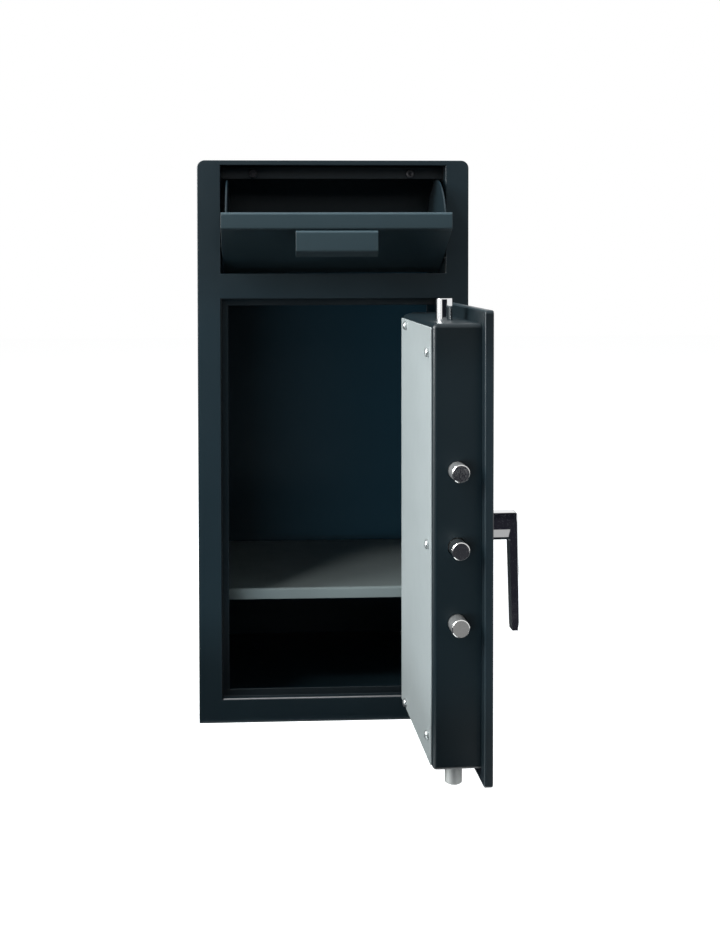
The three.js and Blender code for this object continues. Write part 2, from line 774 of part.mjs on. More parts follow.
function leverHandle() {
  const neckY = frontY - roseHeight - 2 * seatGap;
  const [innerY, outerY] = [frontY - leverStandoff, frontY - leverStandoff - leverThickness];
  const [low, high] = [spindleZ - neckHeight / 2, spindleZ + neckHeight / 2];
  const tip = spindleZ - leverLength;
  const side = outline([
    [neckY, low],
    [neckY, high],
    [outerY, high, leverCornerRadius],
    [outerY - leverSplay, tip, leverEdgeRadius],
    [innerY - leverSplay, tip, leverEdgeRadius],
    [innerY, low, leverEdgeRadius],
  ]);
  const front = outline([
    [spindleX - neckWidth / 2, low],
    [spindleX - neckWidth / 2, high, leverCornerRadius],
    [spindleX + neckWidth / 2, high, leverCornerRadius],
    [spindleX + neckWidth / 2, low],
    [spindleX + leverTipWidth / 2, tip, leverCornerRadius],
    [spindleX - leverTipWidth / 2, tip, leverCornerRadius],
  ]);
  const bar = extrude(side, "x", [spindleX - neckWidth, spindleX + neckWidth]);
  const face = extrude(front, "y", [outerY - leverSplay - cutReach, neckY + cutReach]);
  const socketEnd = neckY - spindleSocket;
  const socket = rod(spindleRadius + seatGap, "y", [spindleX, 0, spindleZ], [socketEnd - seatGap, frontY]);
  return bar.intersect(face).subtract(socket);
}

function handleSpindle() {
  const collar = [plateBackY + seatGap, plateBackY + seatGap + spindleCollarHeight];
  const start = frontY - roseHeight - 2 * seatGap - spindleSocket;
  const profile = [
    [0, start],
    [spindleRadius, start],
    [spindleRadius, collar[0]],
    [spindleCollarRadius, collar[0]],
    [spindleCollarRadius, collar[1]],
    [spindleRadius, collar[1]],
    [spindleRadius, rodBackY],
    [0, rodBackY],
  ];
  return turned(profile, "y", [spindleX, 0, spindleZ]);
}

// The cam disc has two pins behind it for the upright rods and one in front for the side bolts.
function camDisc() {
  const discRadius = rodPinCircle + camPinRadius + slotWall / 2;
  const centre = [spindleX, 0, spindleZ];
  const disc = rod(discRadius, "y", centre, [camY, camY + camSheet]).subtract(spindleBore());
  const rodPinX = rodPinCircle * Math.cos(halfTurn);
  const behind = [camY + camSheet / 2, rodBackY + runGap];
  const topPin = rod(camPinRadius, "y", [spindleX + rodPinX, 0, topPinZ], behind);
  const bottomPin = rod(camPinRadius, "y", [spindleX - rodPinX, 0, bottomPinZ], behind);
  const sidePinPlace = [spindleX - sideThrow / 2, 0, spindleZ + sidePinCircle * Math.cos(halfTurn)];
  const sidePin = rod(camPinRadius, "y", sidePinPlace, [carrierY - runGap, camY + camSheet / 2]);
  return disc.add(topPin).add(bottomPin).add(sidePin);
}

function boltCarrier() {
  const depth = [carrierY, carrierY + carrierSheet];
  const arm = (z, right) => block([carrierLeft, right], depth, [z - armHeight / 2, z + armHeight / 2]);
  const end = sideBoltRadius + boltChamfer;
  const barHeights = [sideBoltHeights[2] - end, sideBoltHeights[0] + end];
  const bar = block([carrierLeft, carrierRight], depth, barHeights);
  const studReach = guideStudRadius + seatGap;
  const cutDepth = [carrierY - cutReach, carrierY + carrierSheet + cutReach];
  const guideSlot = (x, z) => {
    return slot([x - sideThrow - studReach, x + studReach], [z - studReach, z + studReach], cutDepth);
  };
  const pinX = spindleX - sideThrow / 2;
  const pinReach = camPinRadius + seatGap;
  const pinRise = pinReach + sidePinSway;
  const pinHeights = [camArmZ - pinRise, camArmZ + pinRise];
  const pinSlot = slot([pinX - pinReach, pinX + pinReach], pinHeights, cutDepth);
  return bar
    .add(arm(camArmZ, upperStudX + guideStudRadius + slotWall))
    .add(arm(guideArmZ, lowerStudX + guideStudRadius + slotWall))
    .subtract(guideSlot(upperStudX, camArmZ))
    .subtract(guideSlot(lowerStudX, guideArmZ))
    .subtract(pinSlot);
}

// A side bolt is forked at its inner end, over the carrier's bar.
function sideBolt(z) {
  const length = [boxLeft - sideBoltReach, carrierRight];
  const body = rod(sideBoltRadius, "x", [0, boltY, z], length, boltChamfer);
  const fork = block(
    [carrierLeft - seatGap, carrierRight + cutReach],
    [carrierY - seatGap, carrierY + carrierSheet + seatGap],
    [z - sideBoltRadius - cutReach, z + sideBoltRadius + cutReach],
  );
  return body.subtract(fork);
}

// An upright bolt with the lug that its rod is fixed to.
function rodBolt(x, [bottom, top], [lugBottom, lugTop]) {
  const body = rod(rodBoltRadius, "z", [x, boltY, 0], [bottom, top], boltChamfer);
  const lug = block([x - lugWidth / 2, x + lugWidth / 2], [boltY, rodY - seatGap], [lugBottom, lugTop]);
  return body.add(lug);
}

function boltRod(x, pinZ, guideSpan, [bottom, top]) {
  const depth = [rodY - cutReach, rodBackY + cutReach];
  const bar = block([x - rodWidth / 2, x + rodWidth / 2], [rodY, rodBackY], [bottom, top]);
  const pinReach = camPinRadius + seatGap;
  const pinRun = pinReach + rodPinSway;
  const pinSlot = slot([x - pinRun, x + pinRun], [pinZ - pinReach, pinZ + pinReach], depth);
  const studReach = guideStudRadius + seatGap;
  const guideRun = [guideSpan[0] - studReach, guideSpan[1] + studReach];
  const guideSlot = slot([x - studReach, x + studReach], guideRun, depth);
  return bar.subtract(pinSlot).subtract(guideSlot);
}

// A shouldered stud on the door plate, with its head behind the sheet that slides on it.
function guideStud([x, z], sheetBack) {
  const foot = plateBackY + seatGap;
  const head = sheetBack + seatGap;
  const profile = [
    [0, foot],
    [studHeadRadius, foot],
    [studHeadRadius, foot + studHeadHeight],
    [guideStudRadius, foot + studHeadHeight],
    [guideStudRadius, head],
    [studHeadRadius, head],
    [studHeadRadius, head + studHeadHeight],
    [0, head + studHeadHeight],
  ];
  return turned(profile, "y", [x, 0, z]);
}

function keyhole() {
  const span = [frontY - escutcheonHeight - seatGap - cutReach, plateBackY + seatGap + keyholeDepth];
  const round = rod(keyholeRadius, "y", [spindleX, 0, lockZ], span);
  const half = keyholeSlot / 2;
  const cut = block([spindleX - half, spindleX + half], span, [lockZ - keyholeDrop, lockZ]);
  return round.add(cut);
}

function lockCase() {
  const body = block(
    [spindleX - lockCaseWidth / 2, spindleX + lockCaseWidth / 2],
    [plateBackY + seatGap, plateBackY + seatGap + lockCaseDepth],
    [lockZ - lockCaseHeight / 2, lockZ + lockCaseHeight / 2],
  );
  return body.subtract(keyhole());
}

function keyholePlate() {
  const span = [frontY - seatGap - escutcheonHeight, frontY - seatGap];
  const plate = rod(escutcheonRadius, "y", [spindleX, 0, lockZ], span, escutcheonChamfer);
  return plate.subtract(coverPinBore()).subtract(keyhole());
}

function coverPinBore() {
  const front = coverSpan()[0] - cutReach;
  return rod(coverPinRadius + seatGap, "y", [spindleX, 0, coverPivotZ], [front, coverPinTip + runGap]);
}

function coverSpan() {
  const back = frontY - escutcheonHeight - 2 * seatGap;
  return [back - coverSheet, back];
}

function keyholeCover() {
  const leaf = rod(coverRadius, "y", [spindleX, 0, coverPivotZ - coverDrop], coverSpan());
  const ear = rod(coverHeadRadius, "y", [spindleX, 0, coverPivotZ], coverSpan());
  return leaf.add(ear).subtract(coverPinBore());
}

function coverPin() {
  const head = coverSpan()[0] - seatGap;
  const profile = [
    [0, head - coverSheet],
    [coverHeadRadius, head - coverSheet],
    [coverHeadRadius, head],
    [coverPinRadius, head],
    [coverPinRadius, coverPinTip],
    [0, coverPinTip],
  ];
  return turned(profile, "y", [spindleX, 0, coverPivotZ]);
}

// Assembly

// A group whose contents are turned about an axis through a point.
function turnedGroup(point, axis, degrees) {
  const pivot = new THREE.Group();
  const contents = new THREE.Group();
  pivot.position.set(...point);
  pivot.rotateOnAxis(axis, THREE.MathUtils.degToRad(degrees));
  contents.position.set(...point).negate();
  pivot.add(contents);
  return { pivot, contents };
}

function buildCabinet(group) {
  const blockTop = [doorTopZ + jambSheet, doorTopZ + jambSheet + hingeBlockHeight];
  const blockBottom = [doorBottomZ - jambSheet - hingeBlockHeight, doorBottomZ - jambSheet];
  addPart(group, "cabinet_wrap", cabinetWrap(), charcoal);
  addPart(group, "back_panel", backPanel(), charcoal);
  addPart(group, "base_panel", basePanel(), charcoal);
  addPart(group, "front_frame", frontFrame(), charcoal);
  addPart(group, "door_jamb", doorJamb(), charcoal);
  addPart(group, "hinge_block_top", hingeBlock(blockTop), charcoal);
  addPart(group, "hinge_block_bottom", hingeBlock(blockBottom), charcoal);
  addPart(group, "hinge_pin_top", hingePin([plateTop - hingePinReach, blockTop[1]]), zinc);
  addPart(group, "hinge_pin_bottom", hingePin([blockBottom[0], plateBottom + hingePinReach]), zinc);
  addPart(group, "hinge_washer", hingeWasher(), brass);
  addPart(group, "shelf", shelf(), innerGrey);
  addPart(group, "hopper_header", hopperHeader(), charcoal);
  addPart(group, "fishing_baffle", fishingBaffle(), charcoal);
  for (const [side, word] of [[-1, "left"], [1, "right"]]) {
    addPart(group, `shelf_ledge_${word}`, shelfLedge(side), innerGrey);
    addPart(group, `hopper_cheek_${word}`, cheek(side), charcoal);
    addPart(group, `hopper_pivot_${word}`, pivotPin(side), zinc);
    addPart(group, `pivot_spacer_${word}`, pivotSpacer(side), rubber);
    addPart(group, `bump_stop_${word}`, bumpStop(side), rubber);
  }
}

function buildHopper(group) {
  const { pivot, contents } = turnedGroup([0, hopperY, hopperZ], xAxis, hopperTurn);
  addPart(contents, "hopper_flap", hopperFlap(), charcoal);
  addPart(contents, "hopper_side_left", hopperSide(-1), charcoal);
  addPart(contents, "hopper_side_right", hopperSide(1), charcoal);
  addPart(contents, "hopper_tray", hopperTray(), charcoal);
  addPart(contents, "flap_pull", flapPull(), charcoal);
  group.add(pivot);
}

function buildBoltWork(group) {
  const lugTop = boxTop - rodBoltLength + lugLength;
  const lugBottom = boxBottom + rodBoltLength - lugLength;
  const foot = camPinRadius + slotWall;
  const topGuideZ = spindleZ + rodGuideDistance;
  const bottomGuideZ = spindleZ - rodGuideDistance;
  addPart(group, "bolt_carrier", boltCarrier(), zinc);
  ["upper", "middle", "lower"].forEach((word, i) => {
    addPart(group, `side_bolt_${word}`, sideBolt(sideBoltHeights[i]), chrome);
  });
  const topSpan = [boxTop - rodBoltLength, boxTop + topBoltReach];
  const bottomSpan = [boxBottom - bottomBoltReach, boxBottom + rodBoltLength];
  addPart(group, "top_bolt", rodBolt(topRodX, topSpan, [topSpan[0], lugTop]), chrome);
  addPart(group, "bottom_bolt", rodBolt(bottomRodX, bottomSpan, [lugBottom, bottomSpan[1]]), chrome);
  const topGuide = [topGuideZ, topGuideZ + rodThrow];
  const bottomGuide = [bottomGuideZ - rodThrow, bottomGuideZ];
  addPart(group, "top_bolt_rod", boltRod(topRodX, topPinZ, topGuide, [topPinZ - foot, lugTop]), zinc);
  const bottomRodSpan = [lugBottom, bottomPinZ + foot];
  addPart(group, "bottom_bolt_rod", boltRod(bottomRodX, bottomPinZ, bottomGuide, bottomRodSpan), zinc);
  const studs = [
    [[upperStudX, camArmZ], carrierY + carrierSheet],
    [[lowerStudX, guideArmZ], carrierY + carrierSheet],
    [[topRodX, topGuideZ], rodBackY],
    [[bottomRodX, bottomGuideZ], rodBackY],
  ];
  studs.forEach(([place, sheetBack], i) => {
    addPart(group, `guide_stud_${i + 1}`, guideStud(place, sheetBack), zinc);
  });
}

function buildDoor(group) {
  const { pivot, contents } = turnedGroup([hingeX, hingeY, 0], zAxis, doorOpenAngle);
  addPart(contents, "door_plate", doorPlate(), charcoal);
  addPart(contents, "door_box", doorBox(), charcoal);
  addPart(contents, "service_panel", servicePanel(), paleGrey);
  panelScrewPlaces().forEach((place, i) => {
    addPart(contents, `panel_screw_${i + 1}`, panelScrew(place), zinc);
  });
  addPart(contents, "spindle_bush", spindleBush(), brass);
  addPart(contents, "handle_rose", handleRose(), chrome);
  addPart(contents, "lever_handle", leverHandle(), chrome);
  addPart(contents, "handle_spindle", handleSpindle(), zinc);
  addPart(contents, "cam_disc", camDisc(), zinc);
  addPart(contents, "lock_case", lockCase(), zinc);
  addPart(contents, "keyhole_plate", keyholePlate(), chrome);
  addPart(contents, "keyhole_cover", keyholeCover(), chrome);
  addPart(contents, "cover_pin", coverPin(), chrome);
  buildBoltWork(contents);
  group.add(pivot);
}

const safe = new THREE.Group();
buildCabinet(safe);
buildHopper(safe);
buildDoor(safe);

export default safe;
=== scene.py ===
import json
import math

import bmesh
import bpy
from mathutils import Matrix, Vector


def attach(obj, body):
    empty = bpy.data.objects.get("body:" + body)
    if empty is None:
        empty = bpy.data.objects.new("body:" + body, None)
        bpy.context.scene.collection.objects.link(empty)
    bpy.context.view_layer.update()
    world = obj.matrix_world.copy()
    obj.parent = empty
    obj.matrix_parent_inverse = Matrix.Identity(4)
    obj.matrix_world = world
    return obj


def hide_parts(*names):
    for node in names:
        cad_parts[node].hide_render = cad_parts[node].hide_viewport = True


mm = 0.001

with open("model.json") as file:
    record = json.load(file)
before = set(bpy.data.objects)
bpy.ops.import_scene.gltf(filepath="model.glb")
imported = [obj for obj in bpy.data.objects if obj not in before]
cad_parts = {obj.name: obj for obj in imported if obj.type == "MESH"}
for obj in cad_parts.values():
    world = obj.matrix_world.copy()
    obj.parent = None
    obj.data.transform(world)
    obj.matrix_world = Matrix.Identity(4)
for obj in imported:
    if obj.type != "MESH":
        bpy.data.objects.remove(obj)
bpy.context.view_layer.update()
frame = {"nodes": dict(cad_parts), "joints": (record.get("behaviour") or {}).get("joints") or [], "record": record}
scene = bpy.context.scene
record = frame["record"]
slotOf = {part["node"]: part["material_slot"] for part in record["subparts"]}
bodyOf = {node: body for body, nodes in record["behaviour"]["bodies"].items() for node in nodes}
replacedNodes = set()

# Camera

cameraView = {
    "place": (-0.1000, -1.7153, 0.6163),
    "turn": 2.613,     # degrees to the right of straight ahead
    "pitch": 1.493,    # degrees downward
    "roll": -0.116,
    "lens": 45.36,
    "sensor": 36,
    "shift": (0.0525, -0.196),
}


def makeCamera(look):
    camera = bpy.data.cameras.new("photoCamera")
    camera.lens = look["lens"]
    camera.sensor_width = look["sensor"]
    camera.shift_x, camera.shift_y = look["shift"]
    holder = bpy.data.objects.new("photoCamera", camera)
    holder.location = look["place"]
    turn = Matrix.Rotation(math.radians(-look["turn"]), 4, "Z")
    tilt = Matrix.Rotation(math.radians(90 - look["pitch"]), 4, "X")
    roll = Matrix.Rotation(math.radians(look["roll"]), 4, "Z")
    holder.rotation_euler = (turn @ tilt @ roll).to_euler()
    scene.collection.objects.link(holder)
    scene.camera = holder


makeCamera(cameraView)
print("camera set")

# Places


def jointNamed(name):
    return next(joint for joint in frame["joints"] if joint["name"] == name)


# The door and the hopper are drawn shut: this turns what is drawn to where it rests, open.
def openPlace(jointName):
    joint = jointNamed(jointName)
    pivot = Matrix.Translation(joint["pos_m"])
    angle = math.radians(-joint["range_deg"][0])
    return pivot @ Matrix.Rotation(angle, 4, Vector(joint["axis"])) @ pivot.inverted()


atRest = Matrix.Identity(4)
doorOpen = openPlace("door_swing")
hopperOpen = openPlace("hopper_tilt")


# A node's lowest and highest corners, measured as it is drawn.
def drawnBox(node, place=atRest):
    back = place.inverted()
    points = [back @ vertex.co for vertex in frame["nodes"][node].data.vertices]
    low = Vector([min(point[i] for point in points) for i in range(3)])
    high = Vector([max(point[i] for point in points) for i in range(3)])
    return low, high


# Outlines


# A path through corners (a, b, radius), with an arc at each corner that has a radius.
def roundedPath(corners, closed=True, steps=7):
    points = []
    count = len(corners)
    for i, corner in enumerate(corners):
        here = Vector(corner[:2])
        radius = corner[2] if len(corner) > 2 else 0
        if radius <= 0 or (not closed and i in (0, count - 1)):
            points.append(here)
            continue
        before = (Vector(corners[i - 1][:2]) - here).normalized()
        after = (Vector(corners[(i + 1) % count][:2]) - here).normalized()
        half = before.angle(after) / 2
        centre = here + (before + after).normalized() * radius / math.sin(half)
        start = here + before * radius / math.tan(half) - centre
        end = here + after * radius / math.tan(half) - centre
        sweep = start.angle_signed(end)
        for step in range(steps + 1):
            points.append(centre + Matrix.Rotation(-sweep * step / steps, 2) @ start)
    return points


def rectangle(left, right, low, high, radius=0.0):
    return roundedPath([(left, low, radius), (right, low, radius), (right, high, radius), (left, high, radius)])


def circle(a, b, radius, steps=40):
    turn = math.tau / steps
    return [Vector((a + radius * math.cos(i * turn), b + radius * math.sin(i * turn))) for i in range(steps)]


# The outline of a bent sheet: its face runs through the points, its thickness lies to the right.
def sheetOutline(face, thickness, radius, steps=7):
    line = [Vector(point) for point in face]
    last = len(line) - 1

    def right(i):
        along = (line[i + 1] - line[i]).normalized()
        return Vector((along.y, -along.x))

    inner = []
    for i, point in enumerate(line):
        first, second = right(max(i - 1, 0)), right(min(i, last - 1))
        mitre = (first + second).normalized()
        inner.append(point + mitre * thickness / mitre.dot(first))

    def bend(i, side):
        if i in (0, last):
            return 0
        first, second = right(i - 1), right(i)
        turn = math.copysign(1, first.x * second.y - first.y * second.x)
        return radius if turn == side else radius + thickness

    outerSide = [(point.x, point.y, bend(i, 1)) for i, point in enumerate(line)]
    innerSide = [(point.x, point.y, bend(i, -1)) for i, point in enumerate(inner)]
    return roundedPath(outerSide + innerSide[::-1], steps=steps)


# Meshes

weldGap = 0.002 * mm
nearGap = 0.01 * mm
facings = {
    "x": Matrix(((0, 0, 1, 0), (1, 0, 0, 0), (0, 1, 0, 0), (0, 0, 0, 1))),
    "y": Matrix(((1, 0, 0, 0), (0, 0, -1, 0), (0, 1, 0, 0), (0, 0, 0, 1))),
    "z": Matrix.Identity(4),
}


def takeMesh(holder):
    bpy.context.view_layer.update()
    shown = holder.evaluated_get(bpy.context.evaluated_depsgraph_get())
    mesh = bpy.data.meshes.new_from_object(shown)
    data = holder.data
    bpy.data.objects.remove(holder)
    if isinstance(data, bpy.types.Curve):
        bpy.data.curves.remove(data)
    return mesh


# A sheet or plate cut to an outline, with holes: drawn in (Y, Z) for x, (X, Z) for y and (X, Y) for z.
def cutSheet(loops, facing, span, edge):
    curve = bpy.data.curves.new("outline", "CURVE")
    curve.dimensions = "2D"
    curve.fill_mode = "BOTH"
    curve.extrude = (span[1] - span[0]) / 2 - edge
    curve.bevel_depth = edge
    curve.bevel_resolution = 2
    curve.offset = -edge
    for loop in loops:
        spline = curve.splines.new("POLY")
        spline.points.add(len(loop) - 1)
        for point, (a, b) in zip(spline.points, loop):
            point.co = (a, b, 0, 1)
        spline.use_cyclic_u = True
    holder = bpy.data.objects.new("outline", curve)
    scene.collection.objects.link(holder)
    mesh = takeMesh(holder)
    middle = Vector([(span[0] + span[1]) / 2 if axis == facing else 0 for axis in "xyz"])
    mesh.transform(Matrix.Translation(middle) @ facings[facing])
    weldMesh(mesh)
    return mesh


def weldMesh(mesh):
    work = bmesh.new()
    work.from_mesh(mesh)
    bmesh.ops.remove_doubles(work, verts=work.verts, dist=weldGap)
    bmesh.ops.recalc_face_normals(work, faces=work.faces)
    work.to_mesh(mesh)
    work.free()


# A turned piece: its profile is (radius, along) from the axis to the axis.
def turnedMesh(profile, facing, centre, segments=56):
    work = bmesh.new()
    rings = []
    for radius, along in profile:
        if radius < 1e-7:
            rings.append([work.verts.new((0, 0, along))])
            continue
        turn = math.tau / segments
        ring = [(radius * math.cos(i * turn), radius * math.sin(i * turn), along) for i in range(segments)]
        rings.append([work.verts.new(point) for point in ring])
    for low, high in zip(rings, rings[1:]):
        for i in range(segments):
            corners = [low[i % len(low)], low[(i + 1) % len(low)], high[(i + 1) % len(high)], high[i % len(high)]]
            work.faces.new(list(dict.fromkeys(corners)))
    bmesh.ops.recalc_face_normals(work, faces=work.faces)
    mesh = bpy.data.meshes.new("turned")
    work.to_mesh(mesh)
    work.free()
    axis = facings[facing].copy()
    if facing == "y":
        axis = axis @ Matrix.Scale(-1, 4, (0, 0, 1))
        mesh.flip_normals()
    mesh.transform(Matrix.Translation(centre) @ axis)
    return mesh


def blockMesh(low, high):
    work = bmesh.new()
    bmesh.ops.create_cube(work, size=1)
    low, high = Vector(low), Vector(high)
    for vertex in work.verts:
        vertex.co = [low[i] + (vertex.co[i] + 0.5) * (high[i] - low[i]) for i in range(3)]
    mesh = bpy.data.meshes.new("block")
    work.to_mesh(mesh)
    work.free()
    return mesh


def combine(mesh, others, operation):
    for other in others:
        holder = bpy.data.objects.new("work", mesh)
        tool = bpy.data.objects.new("tool", other)
        scene.collection.objects.link(holder)
        scene.collection.objects.link(tool)
        step = holder.modifiers.new("combine", "BOOLEAN")
        step.object = tool
        step.operation = operation
        step.solver = "EXACT"
        mesh = takeMesh(holder)
        bpy.data.objects.remove(tool)
    return mesh


def carve(mesh, *cutters):
    return combine(mesh, cutters, "DIFFERENCE")


def unite(mesh, *others):
    return combine(mesh, others, "UNION")


def smoothMesh(mesh, sharpAngle):
    for polygon in mesh.polygons:
        polygon.use_smooth = True
    mesh.set_sharp_from_angle(angle=math.radians(sharpAngle))


# A finished piece: it stands for its nodes, and rides on their body.
def addPiece(name, mesh, nodes, place=atRest, sharpAngle=32, finish=None, slot=None, body=None):
    mesh.transform(place)
    mesh.name = name
    slot = slot or slotOf[nodes[0]]
    mesh.materials.clear()
    mesh.materials.append(finishes[finish or slot])
    smoothMesh(mesh, sharpAngle)
    piece = bpy.data.objects.new(name, mesh)
    scene.collection.objects.link(piece)
    flats = piece.modifiers.new("flats", "WEIGHTED_NORMAL")    # big faces stay flat beside their rounded edges
    flats.keep_sharp = True
    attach(piece, body or bodyOf[nodes[0]])
    if nodes:
        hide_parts(*nodes)
        replacedNodes.update(nodes)
    return piece


# Finishes

grainLook = {
    "noiseSpan": (0.3, 0.7),    # where most of a noise's values lie
    "peelDepth": 0.1 * mm,
    "metalDepth": 0.05 * mm,
    "sheenTint": (0.82, 0.95, 1, 1),
}


def newFinish(name):
    material = bpy.data.materials.new(name)
    material.use_nodes = True
    tree = material.node_tree
    return material, tree, tree.nodes["Principled BSDF"]


def noiseAt(tree, scale, detail=3.0, stretch=(1, 1, 1)):
    place = tree.nodes.new("ShaderNodeTexCoord")
    mapping = tree.nodes.new("ShaderNodeMapping")
    mapping.inputs["Scale"].default_value = stretch
    noise = tree.nodes.new("ShaderNodeTexNoise")
    noise.inputs["Scale"].default_value = scale
    noise.inputs["Detail"].default_value = detail
    tree.links.new(place.outputs["Object"], mapping.inputs["Vector"])
    tree.links.new(mapping.outputs["Vector"], noise.inputs["Vector"])
    return noise.outputs["Fac"]


def spread(tree, value, low, high):
    ranged = tree.nodes.new("ShaderNodeMapRange")
    ranged.inputs["From Min"].default_value, ranged.inputs["From Max"].default_value = grainLook["noiseSpan"]
    ranged.inputs["To Min"].default_value = low
    ranged.inputs["To Max"].default_value = high
    tree.links.new(value, ranged.inputs["Value"])
    return ranged.outputs["Result"]


def blendColours(tree, value, first, second):
    mix = tree.nodes.new("ShaderNodeMix")
    mix.data_type = "RGBA"
    mix.inputs["A"].default_value = (*first, 1)
    mix.inputs["B"].default_value = (*second, 1)
    tree.links.new(value, mix.inputs["Factor"])
    return mix.outputs["Result"]


def bumpFrom(tree, value, strength, distance):
    bump = tree.nodes.new("ShaderNodeBump")
    bump.inputs["Strength"].default_value = strength
    bump.inputs["Distance"].default_value = distance
    tree.links.new(value, bump.inputs["Height"])
    return bump.outputs["Normal"]


def shaded(colour, factor):
    return tuple(channel * factor for channel in colour)


# Powder coat: a slow drift of tone, a fine orange peel, and a roughness that is a little uneven.
def paintFinish(name, look):
    material, tree, shader = newFinish(name)
    drift = spread(tree, noiseAt(tree, look["driftScale"]), 0, 1)
    darker, lighter = (shaded(look["colour"], 1 + side * look["drift"]) for side in (-1, 1))
    tone = blendColours(tree, drift, darker, lighter)
    tree.links.new(tone, shader.inputs["Base Color"])
    low, high = look["roughness"]
    tree.links.new(spread(tree, noiseAt(tree, look["patchScale"]), low, high), shader.inputs["Roughness"])
    peel = noiseAt(tree, look["peelScale"], 2.0)
    tree.links.new(bumpFrom(tree, peel, look["peel"], grainLook["peelDepth"]), shader.inputs["Normal"])
    shader.inputs["Specular IOR Level"].default_value = look["gloss"]
    shader.inputs["Sheen Weight"].default_value = look.get("sheen", 0)
    shader.inputs["Sheen Tint"].default_value = grainLook["sheenTint"]
    return material


# Bare or plated metal: fine lines or cloudiness in the polish.
def metalFinish(name, look):
    material, tree, shader = newFinish(name)
    cloud = noiseAt(tree, look["grainScale"], 4.0, look["stretch"])
    tone = blendColours(tree, spread(tree, cloud, 0, 1), shaded(look["colour"], 1 - look["drift"]), look["colour"])
    tree.links.new(tone, shader.inputs["Base Color"])
    low, high = look["roughness"]
    tree.links.new(spread(tree, cloud, low, high), shader.inputs["Roughness"])
    tree.links.new(bumpFrom(tree, cloud, look["grain"], grainLook["metalDepth"]), shader.inputs["Normal"])
    shader.inputs["Metallic"].default_value = look.get("metallic", 1)
    return material


paintLooks = {
    "charcoal_paint": {
        "colour": (0.0095, 0.0205, 0.0272), "drift": 0.06, "driftScale": 5, "roughness": (0.385, 0.415),
        "patchScale": 30, "peelScale": 900, "peel": 0.10, "gloss": 0.4,
    },
    "shelf_grey": {
        "colour": (0.270, 0.316, 0.316), "drift": 0.04, "driftScale": 8, "roughness": (0.42, 0.5),
        "patchScale": 40, "peelScale": 1100, "peel": 0.12, "gloss": 0.5,
    },
    "panel_grey": {
        "colour": (0.455, 0.492, 0.494), "drift": 0.03, "driftScale": 6, "roughness": (0.44, 0.52),
        "patchScale": 40, "peelScale": 1000, "peel": 0.12, "gloss": 0.5,
    },
    "black_rubber": {
        "colour": (0.085, 0.080, 0.088), "drift": 0.15, "driftScale": 60, "roughness": (0.6, 0.75),
        "patchScale": 200, "peelScale": 1500, "peel": 0.3, "gloss": 0.4,
    },
}
metalLooks = {
    "chrome": {
        "colour": (0.80, 0.81, 0.82), "drift": 0.03, "grainScale": 120, "stretch": (1, 1, 1),
        "roughness": (0.05, 0.09), "grain": 0.02,
    },
    "zinc": {
        "colour": (0.62, 0.63, 0.62), "drift": 0.10, "grainScale": 160, "stretch": (1, 1, 4),
        "roughness": (0.22, 0.34), "grain": 0.08,
    },
    "brass": {
        "colour": (0.62, 0.45, 0.20), "drift": 0.10, "grainScale": 200, "stretch": (1, 1, 5),
        "roughness": (0.2, 0.32), "grain": 0.08,
    },
}
# The charcoal paint on single pieces, and the metals that have no slot of their own: several are lighter or darker
# copies of one paint or metal, with painted light or painted shade in their colour.
ownPaintLooks = {
    "wrapPaint": {"gloss": 0.22, "roughness": (0.54, 0.58)},
    # Lighter copy of the charcoal for the flap and its pull: painted light, so the lip reads lit.
    "hopperPaintedLight": {"colour": (0.043, 0.071, 0.085)},
    # Darker copy of the charcoal for the door box and the plate's inner face: painted shade.
    "boxPaintedShade": {"colour": (0.0075, 0.0155, 0.0200), "gloss": 0.45, "roughness": (0.345, 0.375)},
    # Lighter copy of the charcoal for the door plate: painted light on its edges.
    "platePaintedLight": {"colour": (0.0152, 0.0262, 0.0330), "sheen": 0.05},
    # Darker copy of the charcoal for the jamb: painted shade in the doorway's recess.
    "jambPaintedShade": {"colour": (0.0045, 0.0100, 0.0135)},
    # Bluer, lighter copy of the charcoal for the back sheet: its own blue tint, and painted light for the glow on the
    # back wall.
    "backTintAndPaintedLight": {"colour": (0.0118, 0.0355, 0.0520)},
}
boltMetalLook = {
    "colour": (0.74, 0.74, 0.73), "drift": 0.08, "grainScale": 260, "stretch": (1, 1, 1),
    "roughness": (0.07, 0.11), "grain": 0.02, "metallic": 0.96,
}
ownMetalLooks = {
    # Pale bare metal for the sill strip: a painted highlight along the doorway's foot.
    "sillHighlightMetal": {**metalLooks["zinc"], "colour": (0.50, 0.49, 0.50), "roughness": (0.3, 0.45), "metallic": 0.4},
    "boltMetal": boltMetalLook,
    # Duller copy of the bolt metal for the upper and lower shafts only: painted light, so they read paler than the
    # middle one.
    "shaftMetalPaintedLight": {**boltMetalLook, "colour": (0.30, 0.30, 0.30), "roughness": (0.4, 0.5), "metallic": 0.5},
    # Duller, paler copy of the bolt metal for the bottom bolt only: painted light, an even grey in place of its
    # reflections.
    "bottomBoltPaintedLight": {**boltMetalLook, "colour": (0.50, 0.51, 0.50), "roughness": (0.48, 0.58), "metallic": 0.65},
    "screwMetal": {**boltMetalLook, "colour": (0.60, 0.63, 0.63), "roughness": (0.26, 0.34), "metallic": 0.8},
    # Near-black copy of the zinc for the hinge pins and washer: painted shade, so they sink into the dark at the
    # hinge.
    "hingeSteelPaintedShade": {**metalLooks["zinc"], "colour": (0.09, 0.09, 0.10), "roughness": (0.4, 0.5)},
}
finishes = {name: paintFinish(name, look) for name, look in paintLooks.items()}
for name, look in ownPaintLooks.items():
    finishes[name] = paintFinish(name, {**paintLooks["charcoal_paint"], **look})
for name, look in {**metalLooks, **ownMetalLooks}.items():
    finishes[name] = metalFinish(name, look)
print("finishes made:", len(finishes))

# Cabinet

